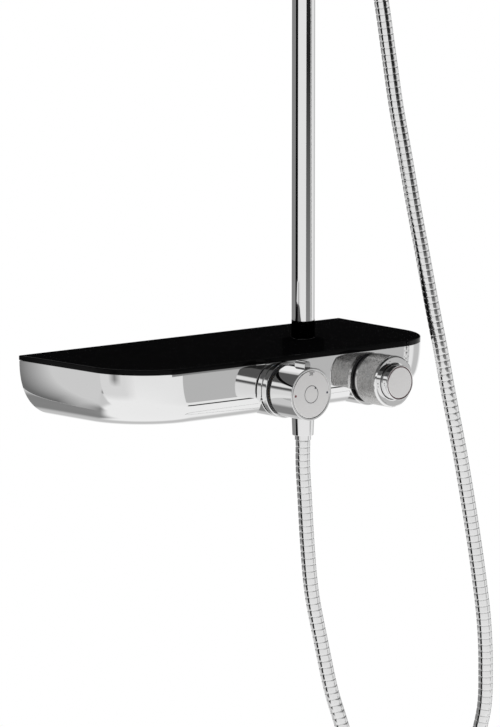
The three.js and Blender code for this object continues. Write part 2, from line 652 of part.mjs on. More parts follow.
function addHandset() {
  const cone = turned([[5.2, -31], [8.6, -31], [10.3, -19], [13.3, 14], [13.3, 17], [9, 17],
    [9, -24], [5.2, -24], [5.2, -31]]);
  add('hose_cone', CHROME, onHolder(cone));
  add('hose_cone_washer', RUBBER, onHolder(ring(8.6, 5, 3, 5)));

  const spigot = turned([[5.5, 5 + GAP], [8.6, 5 + GAP], [8.6, 17 + GAP], [5.5, 17 + GAP],
    [5.5, 5 + GAP]]);
  const sections = [[17.3, 13.2, 13.2], [40, 12.6, 12.8], [80, 12.2, 13.2], [120, 12.6, 14],
    [150, 15, 15], [165, 19, 15]];
  const sides = COARSE;
  const rings = sections.map(([height, wide, deep]) => {
    const points = [];
    for (let i = 0; i < sides; i += 1) {
      const angle = 2 * Math.PI * i / sides;
      points.push(new THREE.Vector3(wide * Math.cos(angle), deep * Math.sin(angle), height));
    }
    return points;
  });
  const handle = loft(rings);
  const faceTilt = THREE.MathUtils.degToRad(94);
  const headPlace = (geometry) => geometry.rotateX(faceTilt).translate(0, -4, 196);
  const head = headPlace(turned([[0, -16], [30, -14], [48, -6], [52, 0], [52, 7], [49.5, 9],
    [49.5, 4], [0, 4]], MEDIUM));
  const recess = headPlace(disc(49.5, 4, 40, MEDIUM));
  const before = headPlace(disc(70, 9, 40, MEDIUM));
  const handset = combine([handle, head, spigot], [recess, before]);
  add('handset_body', CHROME, onHolder(handset));

  const face = headPlace(ring(49, 41, 4 + GAP, 8.6, MEDIUM));
  add('handset_face_ring', CHROME, onHolder(face));

  const mat = headPlace(disc(40.7, 4 + GAP, 7.4, MEDIUM));
  const nozzles = [];
  for (let circle = 1; circle <= 2; circle += 1) {
    const count = circle * 4;
    for (let i = 0; i < count; i += 1) {
      const angle = 2 * Math.PI * (i + circle / 2) / count;
      const tip = turned([[0, 6], [1.8, 6], [1.1, 10], [0, 10]], 5);
      nozzles.push(headPlace(tip.translate(17 * circle * Math.cos(angle),
        17 * circle * Math.sin(angle), 0)));
    }
  }
  add('handset_nozzle_mat', SILICONE, onHolder(combine([mat, ...nozzles])));
}

// ---------------------------------------------------------------- hose

function addHoseFittings() {
  const place = (geometry) => geometry.translate(RISER_X, RISER_Y, 0);
  const nipple = turned([[5.2, -50], [8.3, -50], [8.3, -8.4], [5.2, -8.4], [5.2, -50]]);
  add('hose_outlet_nipple', BRASS, place(nipple));

  const nut = turned([[8.7, HOSE_NUT_TOP_Z], [10.9, HOSE_NUT_TOP_Z], [10.9, -42],
    [10.1, HOSE_NUT_BOTTOM_Z], [8.1, HOSE_NUT_BOTTOM_Z], [8.1, -56], [8.7, -56],
    [8.7, HOSE_NUT_TOP_Z]]);
  add('hose_nut', CHROME, place(nut));
  add('hose_washer', RUBBER, place(ring(8.3, 5, -52.4, -50.3)));

  const ferrule = turned([[4.6, -65.7], [7.75, -65.7], [7.75, -55.6], [8.4, -55.6],
    [8.4, -52.7], [4.6, -52.7], [4.6, -65.7]]);
  add('hose_ferrule', CHROME, place(ferrule));
}

// The hose leaves the outlet straight down, loops under the mixer and climbs to the holder.
const HOSE_ROUTE = [
  [73.6, -99.2, -66], [73.6, -99.2, -90], [74.9, -100.3, -120.4], [77, -102, -167],
  [80.2, -104.8, -213.8], [86.9, -110.4, -260.5], [94.3, -116.7, -307.2],
  [99.5, -121.2, -330.6], [107, -127.5, -360], [121, -139.5, -392], [146, -160.5, -412],
  [174, -184.5, -404], [194.5, -202, -374], [205.4, -210.8, -330.6], [206.6, -212.4, -283.9],
  [204, -212.4, -240], [199, -209, -190], [193.1, -204.5, -140], [183.5, -198.4, -73.7],
  [175.7, -193.4, -27], [168.3, -188.7, 19.7], [160.1, -184.1, 66.4], [151.7, -180.4, 113.1],
  [143.7, -176.2, 159.8], [135.9, -172.6, 206.6], [127.6, -169.3, 253.3], [120.4, -167.2, 300],
  [113.1, -165.5, 346.7], [103, -160.5, 410], [92.5, -153.3, 475], [82.8, -146.4, 540],
  [75.4, -142.3, 600], [73.6, -146.4, 636], [73.6, -150.4, 650.5],
];

function addHose() {
  const points = HOSE_ROUTE.map((point) => new THREE.Vector3(...point));
  const curve = new THREE.CatmullRomCurve3(points, false, 'centripetal');
  add('shower_hose', STEEL, swept(curve, HOSE_STEPS, HOSE_RADIUS, HOSE_SIDES));
}

// ---------------------------------------------------------------- assembly

addShelf();
addCasing();
addValveBody();
addInlets();
addTemperatureControl();
addSafetyButton();
addFlowControl();
addRiser();
addWallBracket();
addArm();
addRainHead();
addSlider();
addSliderButton();
addHandset();
addHoseFittings();
addHose();

export default object;
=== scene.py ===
import json
import math

import bmesh
import bpy
from mathutils import Matrix, Vector

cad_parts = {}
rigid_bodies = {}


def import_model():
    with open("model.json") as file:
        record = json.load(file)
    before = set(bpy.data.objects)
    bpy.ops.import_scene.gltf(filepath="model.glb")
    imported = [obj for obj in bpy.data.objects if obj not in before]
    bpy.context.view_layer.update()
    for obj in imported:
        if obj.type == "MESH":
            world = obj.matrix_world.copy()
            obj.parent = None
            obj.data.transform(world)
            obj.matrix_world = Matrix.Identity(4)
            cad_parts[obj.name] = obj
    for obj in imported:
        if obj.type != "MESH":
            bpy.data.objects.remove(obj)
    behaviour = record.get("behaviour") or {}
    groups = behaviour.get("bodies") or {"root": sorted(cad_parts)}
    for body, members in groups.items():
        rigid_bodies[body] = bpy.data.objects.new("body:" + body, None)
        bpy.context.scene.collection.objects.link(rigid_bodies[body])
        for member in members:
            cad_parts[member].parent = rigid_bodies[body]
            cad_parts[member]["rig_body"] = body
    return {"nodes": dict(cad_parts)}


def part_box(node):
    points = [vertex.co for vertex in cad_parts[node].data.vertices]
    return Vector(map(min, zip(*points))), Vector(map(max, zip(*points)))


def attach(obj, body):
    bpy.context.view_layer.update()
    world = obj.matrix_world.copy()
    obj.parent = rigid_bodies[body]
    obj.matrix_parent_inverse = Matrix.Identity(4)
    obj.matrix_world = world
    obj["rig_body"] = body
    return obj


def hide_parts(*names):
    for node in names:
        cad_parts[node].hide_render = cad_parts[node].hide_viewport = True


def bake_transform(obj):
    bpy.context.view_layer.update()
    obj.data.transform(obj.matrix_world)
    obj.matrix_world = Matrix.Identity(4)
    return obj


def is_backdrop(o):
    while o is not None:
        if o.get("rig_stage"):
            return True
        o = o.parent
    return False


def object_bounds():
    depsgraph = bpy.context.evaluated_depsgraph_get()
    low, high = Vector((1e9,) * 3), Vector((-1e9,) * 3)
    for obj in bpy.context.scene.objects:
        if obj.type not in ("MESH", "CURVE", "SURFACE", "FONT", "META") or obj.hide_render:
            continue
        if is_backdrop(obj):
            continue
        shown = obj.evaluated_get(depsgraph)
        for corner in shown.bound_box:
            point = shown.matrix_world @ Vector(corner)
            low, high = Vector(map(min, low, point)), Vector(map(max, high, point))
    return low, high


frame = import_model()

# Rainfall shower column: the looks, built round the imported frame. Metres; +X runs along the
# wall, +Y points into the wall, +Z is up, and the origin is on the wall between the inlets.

cad_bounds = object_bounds()

MM = 0.001
NODES = frame["nodes"]
SCENE = bpy.context.scene
IDENTITY = Matrix.Identity(4)
OUT_OF_WALL = Matrix.Rotation(math.radians(90), 4, "X")   # turns +Z to point out of the wall
SIDES = 96                                                # of most round pieces

# ------------------------------------------------------------------ camera

CAMERA_AZIMUTH = math.radians(-40.253)
CAMERA_ELEVATION = math.radians(8.375)
CAMERA_TARGET = Vector((-53.8, -172, 27.5)) * MM
CAMERA_DISTANCE = 4.591
CAMERA_LENS = 247.6


def add_camera():
    camera = bpy.data.objects.new("camera", bpy.data.cameras.new("camera"))
    camera.rotation_euler = (math.radians(90) - CAMERA_ELEVATION, 0, CAMERA_AZIMUTH)
    backwards = camera.rotation_euler.to_matrix() @ Vector((0, 0, 1))
    camera.location = CAMERA_TARGET + backwards * CAMERA_DISTANCE
    camera.data.lens = CAMERA_LENS
    camera.data.clip_end = 50
    SCENE.collection.objects.link(camera)
    SCENE.camera = camera


# ------------------------------------------------------------------ materials

class Nodes:
    """Adds shader nodes to a tree by short calls."""

    def __init__(self, tree):
        self.tree = tree
        tree.nodes.clear()

    def add(self, kind, **values):
        node = self.tree.nodes.new(kind)
        for key, value in values.items():
            setattr(node, key, value)
        return node

    def link(self, source, target):
        self.tree.links.new(source, target)

    def calculate(self, operation, *sources):
        node = self.add("ShaderNodeMath", operation=operation)
        for source, target in zip(sources, node.inputs):
            self.link(source, target)
        return node.outputs[0]

    def noise(self, place, scale, detail=2.0, stretch=(1, 1, 1)):
        """Noise over the object's own metres; scale is patches per metre."""
        mapping = self.add("ShaderNodeMapping")
        mapping.inputs["Scale"].default_value = stretch
        self.link(place, mapping.inputs["Vector"])
        texture = self.add("ShaderNodeTexNoise")
        texture.inputs["Scale"].default_value = scale
        texture.inputs["Detail"].default_value = detail
        self.link(mapping.outputs["Vector"], texture.inputs["Vector"])
        return texture.outputs["Fac"]

    def spread(self, value, low, high, start=0.3, end=0.7):
        """Stretches a noise value to run from low to high."""
        node = self.add("ShaderNodeMapRange")
        node.inputs["From Min"].default_value = start
        node.inputs["From Max"].default_value = end
        node.inputs["To Min"].default_value = low
        node.inputs["To Max"].default_value = high
        self.link(value, node.inputs["Value"])
        return node.outputs["Result"]

    def tint(self, value, first, second):
        node = self.add("ShaderNodeMix", data_type="RGBA")
        node.inputs["A"].default_value = (*first, 1)
        node.inputs["B"].default_value = (*second, 1)
        self.link(value, node.inputs["Factor"])
        return node.outputs["Result"]


def finish(name, colour, roughness, metallic=0.0, vary=0.03, patches=30, grain=900, depth=0.02,
           rough_vary=0.2, stretch=(1, 1, 1), **sockets):
    """A surface with uneven colour and roughness in patches, and a fine grain in its relief.

    Patches and grain are per metre, depth is the grain's height in millimetres, and other
    values go straight to the shader's sockets.
    """
    material = bpy.data.materials.new(name)
    material.use_nodes = True
    nodes = Nodes(material.node_tree)
    place = nodes.add("ShaderNodeTexCoord").outputs["Object"]
    shader = nodes.add("ShaderNodeBsdfPrincipled")
    output = nodes.add("ShaderNodeOutputMaterial")
    nodes.link(shader.outputs["BSDF"], output.inputs["Surface"])
    shader.inputs["Metallic"].default_value = metallic
    for socket, value in sockets.items():
        shader.inputs[socket.replace("_", " ")].default_value = value

    blotches = nodes.noise(place, patches, 3.0)
    dull = [level * (1 - vary) for level in colour]
    bright = [min(1, level * (1 + vary)) for level in colour]
    nodes.link(nodes.tint(nodes.spread(blotches, 0, 1), dull, bright), shader.inputs["Base Color"])

    fine = nodes.noise(place, grain, 2.0, stretch)
    mixed = nodes.calculate("ADD", nodes.spread(blotches, 0, 0.5), nodes.spread(fine, 0, 0.5))
    rough = nodes.spread(mixed, roughness * (1 - rough_vary), roughness * (1 + rough_vary), 0, 1)
    nodes.link(rough, shader.inputs["Roughness"])

    relief = nodes.add("ShaderNodeBump")
    relief.inputs["Strength"].default_value = 1
    relief.inputs["Distance"].default_value = depth * MM
    nodes.link(fine, relief.inputs["Height"])
    nodes.link(relief.outputs["Normal"], shader.inputs["Normal"])
    return material


def slot_finishes():
    """One material for each of the record's material slots."""
    return {
        "chrome": finish("chrome", (0.88, 0.88, 0.88), 0.035, 1, vary=0.01, patches=14, grain=160,
                         depth=0.0006, rough_vary=0.3),
        "satin_metal": finish("satin_metal", (0.80, 0.79, 0.785), 0.3, 1, vary=0.02, grain=2600,
                              depth=0.0022, rough_vary=0.12),
        "hose_metal": finish("hose_metal", (0.84, 0.84, 0.84), 0.09, 1, vary=0.03, patches=120,
                             grain=1500, depth=0.0006),
        "steel": finish("steel", (0.58, 0.585, 0.59), 0.3, 1, vary=0.06, grain=1200, depth=0.004,
                        stretch=(1, 1, 9)),
        "brass": finish("brass", (0.70, 0.52, 0.25), 0.32, 1, vary=0.12, patches=60, grain=900,
                        depth=0.004, stretch=(8, 1, 1)),
        "black_glass": finish("black_glass", (0.0016, 0.0016, 0.0018), 0.07, vary=0.15,
                              patches=9, grain=400, depth=0.0002, IOR=1.4, Specular_IOR_Level=0.1),
        "black_plastic": finish("black_plastic", (0.012, 0.012, 0.013), 0.5, vary=0.2, grain=2600,
                                depth=0.012),
        "grey_plastic": finish("grey_plastic", (0.42, 0.43, 0.44), 0.5, vary=0.05, grain=2000,
                               depth=0.012),
        "white_plastic": finish("white_plastic", (0.80, 0.81, 0.80), 0.4, vary=0.02, grain=1800,
                                depth=0.006, Subsurface_Weight=0.05),
        "rubber": finish("rubber", (0.022, 0.022, 0.023), 0.75, vary=0.25, grain=2400, depth=0.02),
        "silicone": finish("silicone", (0.60, 0.62, 0.64), 0.55, vary=0.04, grain=1500,
                           depth=0.008, Subsurface_Weight=0.12),
    }


def paint(name, colour):
    """Printed marks, and dark fills that are painted shade in a groove or gap: thin ink with a
    slightly uneven edge to its gloss.
    """
    return finish(name, colour, 0.45, vary=0.12, patches=900, grain=3000, depth=0.004)


FINISHES = slot_finishes()
KNURLED_METAL = finish("knurled_metal", (0.68, 0.675, 0.67), 0.27, 1, vary=0.05, patches=200,
                       grain=2600, depth=0.004, rough_vary=0.15)
SPUN_METAL = finish("spun_metal", (0.94, 0.93, 0.925), 0.34, 1, vary=0.015, grain=2600,
                    depth=0.0015, rough_vary=0.1, Anisotropic=0.5)
# Black ink for the printed marks, and also the painted shadow dots on the safety button.
BLACK_INK_AND_GAP_SHADE = paint("black_ink_and_gap_shade", (0.012, 0.012, 0.014))
# Grey ink for the printed number, and also the painted shade in the dial's groove.
GREY_INK_AND_GROOVE_SHADE = paint("grey_ink_and_groove_shade", (0.06, 0.06, 0.063))
RED_INK = paint("red_ink", (0.13, 0.006, 0.012))
BLUE_INK = paint("blue_ink", (0.008, 0.014, 0.04))
# Dark reddish fill for the gap round the push button's face: painted shade.
PAINTED_GAP_SHADE = paint("painted_gap_shade", (0.10, 0.055, 0.06))


# ------------------------------------------------------------------ mesh helpers

def make(name, mesh, place=IDENTITY):
    """A new object from a bmesh, with its faces pointing out."""
    bmesh.ops.recalc_face_normals(mesh, faces=mesh.faces)
    data = bpy.data.meshes.new(name)
    mesh.to_mesh(data)
    mesh.free()
    data.transform(place)
    piece = bpy.data.objects.new(name, data)
    SCENE.collection.objects.link(piece)
    return piece


def dress(piece, body, material, sharp=32):
    """Smooth shading with crisp edges, a material, and the CAD body that the piece rides on."""
    count = len(piece.data.polygons)
    piece.data.polygons.foreach_set("use_smooth", [True] * count)
    piece.data.set_sharp_from_angle(angle=math.radians(sharp))
    even = piece.modifiers.new("even_normals", "WEIGHTED_NORMAL")
    even.keep_sharp = True
    piece.data.materials.clear()
    piece.data.materials.append(material)
    if body:
        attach(piece, body)
    return piece


def stand_in(piece, node, slot, sharp=32):
    """Dresses a piece and shows it instead of a CAD node."""
    dress(piece, NODES[node]["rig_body"], FINISHES[slot], sharp)
    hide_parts(node)
    return piece


def radius_about(node, first, second):
    """How far a CAD node reaches from the middle of its box, in the plane of two axes."""
    low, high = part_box(node)
    middle = (low + high) / 2
    points = [vertex.co - middle for vertex in NODES[node].data.vertices]
    return max(math.hypot(point[first], point[second]) for point in points)


def upright(node):
    """Place, radius, bottom and top of a CAD node that is turned about a vertical axis."""
    low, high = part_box(node)
    middle = (low + high) / 2
    place = Matrix.Translation((middle.x, middle.y, 0))
    return place, radius_about(node, 0, 1), low.z, high.z


def outward(node):
    """The same for an axis that points out of the wall, with heights measured from the wall."""
    low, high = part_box(node)
    middle = (low + high) / 2
    place = Matrix.Translation((middle.x, 0, middle.z)) @ OUT_OF_WALL
    return place, radius_about(node, 0, 2), -high.y, -low.y


def rounded(profile, radius, steps=4):
    """Rounds the corners of a profile of (radius, height) points."""
    closed = profile[0] == profile[-1]
    points = [Vector(point) for point in (profile[:-1] if closed else profile)]
    result = []
    for i, point in enumerate(points):
        before = points[i - 1] - point
        after = points[(i + 1) % len(points)] - point
        at_end = not closed and i in (0, len(points) - 1)
        if at_end or before.angle(after) > math.radians(165):
            result.append(point)
            continue
        room = 0.45 * min(before.length, after.length)
        reach = min(radius / math.tan(before.angle(after) / 2), room)
        start = point + before.normalized() * reach
        end = point + after.normalized() * reach
        for k in range(steps + 1):
            share = k / steps
            result.append(start.lerp(point, share).lerp(point.lerp(end, share), share))
    if closed:
        result.append(result[0])
    return [tuple(point) for point in result]


def skin(mesh, rings, closed=False, peaks=None):
    """Faces between rings of vertices; a ring of one vertex closes to a point.

    Where peaks tells that a vertex is raised, the quads are split so that its faces form
    a small pyramid.
    """
    pairs = list(zip(rings, rings[1:]))
    if closed:
        pairs.append((rings[-1], rings[0]))
    for row, (first, second) in enumerate(pairs):
        count = max(len(first), len(second))
        if count == 1:
            continue
        for i in range(count):
            j = (i + 1) % count
            corners = [first[i % len(first)], first[j % len(first)],
                       second[j % len(second)], second[i % len(second)]]
            corners = list(dict.fromkeys(corners))
            if peaks is None or len(corners) < 4 or not peaks(row):
                mesh.faces.new(corners)
            elif (i + row) % 2 == 0:
                mesh.faces.new([corners[0], corners[1], corners[3]])
                mesh.faces.new([corners[1], corners[2], corners[3]])
            else:
                mesh.faces.new([corners[0], corners[1], corners[2]])
                mesh.faces.new([corners[0], corners[2], corners[3]])


def ring_of(mesh, radius, height, sides):
    """A ring of vertices about Z; the radius may be a function of the side's number."""
    if not callable(radius) and radius < 1e-7:
        return [mesh.verts.new((0, 0, height))]
    vertices = []
    for i in range(sides):
        angle = 2 * math.pi * i / sides
        here = radius(i) if callable(radius) else radius
        vertices.append(mesh.verts.new((here * math.cos(angle), here * math.sin(angle), height)))
    return vertices


def lathe(name, profile, place=IDENTITY, sides=SIDES, peaks=None):
    """Turns a profile of (radius, height) points about Z. It ends on the axis or on itself."""
    closed = profile[0] == profile[-1]
    mesh = bmesh.new()
    rings = [ring_of(mesh, radius, height, sides)
             for radius, height in (profile[:-1] if closed else profile)]
    skin(mesh, rings, closed, peaks)
    return make(name, mesh, place)


def washer_profile(outer, inner, low, high):
    return [(inner, low), (outer, low), (outer, high), (inner, high), (inner, low)]


def disc_profile(radius, low, high):
    return [(0, low), (radius, low), (radius, high), (0, high)]


def turned(node, profile, place, rounding=0, sides=SIDES, steps=4, slot="chrome"):
    """Shows a lathed piece instead of a CAD node; rounding of its corners is in millimetres."""
    if rounding:
        profile = rounded(profile, rounding * MM, steps)
    return stand_in(lathe(f"{node}_fine", profile, place, sides), node, slot)


def loft(name, outlines, place=IDENTITY):
    """A solid through a stack of outlines, with flat ends."""
    mesh = bmesh.new()
    rings = [[mesh.verts.new(point) for point in outline] for outline in outlines]
    skin(mesh, rings)
    mesh.faces.new(rings[0])
    mesh.faces.new(rings[-1])
    return make(name, mesh, place)


def frames_along(points):
    """Places on a path, each with two crosswise directions that don't twist."""
    points = [Vector(point) for point in points]
    side = None
    for i, point in enumerate(points):
        ahead = points[min(i + 1, len(points) - 1)] - points[max(i - 1, 0)]
        ahead.normalize()
        if side is None:
            side = ahead.orthogonal().normalized()
        side = (side - ahead * side.dot(ahead)).normalized()
        yield point, side, ahead.cross(side)


def tube(name, points, radii, sides, place=IDENTITY):
    """A closed tube along points, with a radius for each of them."""
    outlines = []
    for (point, across, up), radius in zip(frames_along(points), radii):
        outline = []
        for i in range(sides):
            angle = 2 * math.pi * i / sides
            offset = across * math.cos(angle) + up * math.sin(angle)
            outline.append(point + offset * radius)
        outlines.append(outline)
    return loft(name, outlines, place)


def combine(piece, others, operation):
    """Joins other solids to a piece or cuts them out of it, and uses them up."""
    for other in others:
        step = piece.modifiers.new("combine", "BOOLEAN")
        step.operation = operation
        step.object = other
        step.solver = "EXACT"
    bpy.context.view_layer.update()
    depsgraph = bpy.context.evaluated_depsgraph_get()
    data = bpy.data.meshes.new_from_object(piece.evaluated_get(depsgraph))
    piece.modifiers.clear()
    piece.data = data
    for other in others:
        bpy.data.objects.remove(other)
    return piece


def join(piece, *others):
    return combine(piece, others, "UNION")


def cut(piece, *others):
    return combine(piece, others, "DIFFERENCE")


def block(name, low, high, place=IDENTITY):
    mesh = bmesh.new()
    bmesh.ops.create_cube(mesh, size=1)
    size = Vector(high) - Vector(low)
    middle = (Vector(high) + Vector(low)) / 2
    bmesh.ops.scale(mesh, vec=size, verts=mesh.verts)
    bmesh.ops.translate(mesh, vec=middle, verts=mesh.verts)
    return make(name, mesh, place)


# ------------------------------------------------------------------ hose and its fittings

HOSE_DIAMETER = 14 * MM
HOSE_PITCH = 6.3 * MM               # from one metal ring to the next
HOSE_SIDES = 32
HOSE_ROUTE = [
    (73.6, -99.2, -66), (73.6, -99.2, -90), (74.9, -100.3, -120.4), (77, -102, -167),
    (80.2, -104.8, -213.8), (86.9, -110.4, -260.5), (94.3, -116.7, -307.2),
    (99.5, -121.2, -330.6), (107, -127.5, -360), (121, -139.5, -392), (146, -160.5, -412),
    (174, -184.5, -404), (194.5, -202, -374), (205.4, -210.8, -330.6), (206.6, -212.4, -283.9),
    (204, -212.4, -240), (199, -209, -190), (193.1, -204.5, -140), (183.5, -198.4, -73.7),
    (175.7, -193.4, -27), (168.3, -188.7, 19.7), (160.1, -184.1, 66.4), (151.7, -180.4, 113.1),
    (143.7, -176.2, 159.8), (135.9, -172.6, 206.6), (127.6, -169.3, 253.3), (120.4, -167.2, 300),
    (113.1, -165.5, 346.7), (103, -160.5, 410), (92.5, -153.3, 475), (82.8, -146.4, 540),
    (75.4, -142.3, 600), (73.6, -146.4, 636), (73.6, -150.4, 650.5),
]
# One ring of the hose: share of the pitch, and how far below the full radius.
HOSE_RING = [(0.0, 0.6), (0.05, 0.6), (0.08, 0.16), (0.14, 0.04), (0.3, 0.01), (0.5, 0.0),
             (0.7, 0.01), (0.86, 0.04), (0.92, 0.16), (0.95, 0.6)]


def curve_through(points, steps):
    """A centripetal Catmull-Rom curve through points, as a polyline."""
    first = points[0] * 2 - points[1]
    last = points[-1] * 2 - points[-2]
    line = [first, *points, last]
    result = []
    for i in range(1, len(line) - 2):
        p0, p1, p2, p3 = line[i - 1:i + 3]
        d0, d1, d2 = ((b - a).length ** 0.5 for a, b in ((p0, p1), (p1, p2), (p2, p3)))
        t1 = ((p1 - p0) / d0 - (p2 - p0) / (d0 + d1) + (p2 - p1) / d1) * d1
        t2 = ((p2 - p1) / d1 - (p3 - p1) / (d1 + d2) + (p3 - p2) / d2) * d1
        square = (p2 - p1) * 3 - t1 * 2 - t2
        cube = (p1 - p2) * 2 + t1 + t2
        for k in range(steps):
            s = k / steps
            result.append(p1 + t1 * s + square * s * s + cube * s ** 3)
    result.append(points[-1])
    return result


def walk(line, distances):
    """The points at growing distances along a polyline."""
    passed = 0
    i = 0
    result = []
    for distance in distances:
        while i < len(line) - 2 and passed + (line[i + 1] - line[i]).length < distance:
            passed += (line[i + 1] - line[i]).length
            i += 1
        step = line[i + 1] - line[i]
        share = min(1, (distance - passed) / step.length)
        result.append(line[i] + step * share)
    return result


def length_of(line):
    return sum((b - a).length for a, b in zip(line, line[1:]))


def add_hose_fittings():
    place, radius, low, high = upright("hose_nut")
    bore = 8.1 * MM
    taper = 0.8 * MM
    profile = [(bore, low), (radius - taper, low), (radius, low + 19 * MM), (radius, high),
               (bore, high), (bore, low)]
    nut = turned("hose_nut", profile, place, 0.5)

    place, radius, low, high = upright("hose_ferrule")
    sleeve = 7.75 * MM
    bore = 4.6 * MM
    flange = low + 10.1 * MM
    profile = [(bore, low), (sleeve, low), (sleeve, flange), (radius, flange), (radius, high),
               (bore, high), (bore, low)]
    ferrule = turned("hose_ferrule", profile, place, 0.4)
    return [nut, ferrule, add_hose_cone()]


def add_hose():
    line = curve_through([Vector(point) * MM for point in HOSE_ROUTE], 24)
    total = length_of(line)
    rings = round(total / HOSE_PITCH)
    pitch = total / rings
    distances = []
    radii = []
    for i in range(rings):
        for share, inset in HOSE_RING:
            distances.append((i + share) * pitch)
            radii.append(HOSE_DIAMETER / 2 - inset * MM)
    distances.append(total)
    radii.append(radii[0])
    path = walk(line, distances)
    hose = tube("shower_hose_fine", path, radii, HOSE_SIDES)
    dress(hose, None, FINISHES["hose_metal"], 40)
    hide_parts("shower_hose")
    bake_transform(hose)
    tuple(path[0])
    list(add_hose_fittings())


# ------------------------------------------------------------------ the holder's tilted axis

HANDSET_TILT = math.radians(20)
HOLDER_REACH = 62 * MM
HOLDER_DROP = 10 * MM


def holder_place():
    """The tilted axis of the holder's cone, with its zero at the middle of the cone."""
    place, _, low, high = upright("slider_bush")
    middle = place.translation
    return Matrix.Translation((middle.x, middle.y - HOLDER_REACH, (low + high) / 2
                               - HOLDER_DROP)) @ Matrix.Rotation(HANDSET_TILT, 4, "X")


def add_hose_cone():
    profile = [(5.2, -31), (8.6, -31), (10.3, -19), (13.3, 14), (13.3, 17), (9, 17), (9, -24),
               (5.2, -24), (5.2, -31)]
    return turned("hose_cone", scaled(profile), holder_place(), 0.6)


def scaled(profile):
    """Millimetres to metres."""
    return [(radius * MM, height * MM) for radius, height in profile]


# ------------------------------------------------------------------ shelf and casing

CORNER_RADIUS = 58 * MM
END_TAPER = 0.044
FRONT_BOW = 1.8 * MM
SHELF_LOW, SHELF_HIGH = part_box("glass_shelf")
SHELF_HALF = SHELF_HIGH.x
SHELF_DEPTH = SHELF_HIGH.y - SHELF_LOW.y - FRONT_BOW
FRONT_Y = SHELF_LOW.y + FRONT_BOW
CASING_LOW, CASING_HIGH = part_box("body_casing")
CASING_HEIGHT = 55.2 * MM
CASING_WALL = 3 * MM
CASING_SIDE_CURVE = 50 * MM
CASING_FRONT_CURVE = 72 * MM
CASING_FRONT_FLAT = 26.5 * MM
CASING_CURVE_POWER = 2.3
CASING_EDGE = 0.7 * MM
GLASS_EDGE = 0.9 * MM
BOSS_RADIUS = 26 * MM


def plan_outline(z, side_inset, front_inset, back_y, fine=1):
    """The D-shaped plan of the shelf and the casing, from back left round the front."""
    half = SHELF_HALF - side_inset
    front = FRONT_Y + front_inset
    radius = min(CORNER_RADIUS, half - MM, back_y - front - 6 * MM)
    side_steps, corner_steps, front_steps = (int(count * fine) for count in (10, 28, 24))
    right = []
    for i in range(side_steps):
        right.append((half, back_y + (front + radius - back_y) * i / side_steps))
    for i in range(corner_steps):
        angle = math.pi / 2 * i / corner_steps
        right.append((half - radius + radius * math.cos(angle),
                      front + radius - radius * math.sin(angle)))
    for i in range(front_steps):
        right.append(((half - radius) * (1 - i / front_steps), front))
    outline = [(-x, y) for x, y in right] + [(0, front)] + right[::-1]
    result = []
    for x, y in outline:
        forwardness = (SHELF_HIGH.y - y) / SHELF_DEPTH
        bow = FRONT_BOW * (1 - (x / half) ** 2) * forwardness
        result.append((x * (1 - END_TAPER * forwardness), y - bow, z))
    return result


def edge_steps(radius, steps=4):
    """(inset, depth) of a rounded edge, from the flat to the upright face."""
    for i in range(steps + 1):
        angle = math.pi / 2 * i / steps
        yield radius * (1 - math.sin(angle)), radius * (1 - math.cos(angle))


def riser_bore(extra):
    place, radius = upright("riser_pipe")[:2]
    return lathe("riser_bore", disc_profile(radius + extra, SHELF_LOW.z - 50 * MM,
                                            SHELF_HIGH.z + 50 * MM), place)


def add_glass():
    back_y = SHELF_HIGH.y
    outlines = []
    for inset, depth in edge_steps(GLASS_EDGE):
        outlines.append(plan_outline(SHELF_HIGH.z - depth, inset, inset, back_y - inset))
    for inset, depth in list(edge_steps(GLASS_EDGE * 0.6))[::-1]:
        outlines.append(plan_outline(SHELF_LOW.z + depth, inset, inset, back_y - inset))
    glass = cut(loft("glass_shelf_fine", outlines), riser_bore(0.3 * MM))
    stand_in(glass, "glass_shelf", "black_glass")


def casing_outline(drop, wall, fine=1):
    """The casing's outside at a depth below its top, or its inside, a wall further in."""
    def curve_in(share):
        share = min(1, max(0, share))
        return 1 - (1 - share ** CASING_CURVE_POWER) ** (1 / CASING_CURVE_POWER)

    height = CASING_HEIGHT - wall
    side = wall + CASING_SIDE_CURVE * curve_in(drop / height)
    front = wall + CASING_FRONT_CURVE * curve_in((drop - CASING_FRONT_FLAT)
                                                 / (height - CASING_FRONT_FLAT))
    back_y = CASING_HIGH.y - wall
    return plan_outline(CASING_HIGH.z - drop, side, front, back_y, fine)


def casing_levels(height, count):
    levels = [height * math.sin(math.pi / 2 * i / count) for i in range(count + 1)]
    return sorted({*levels, CASING_FRONT_FLAT})


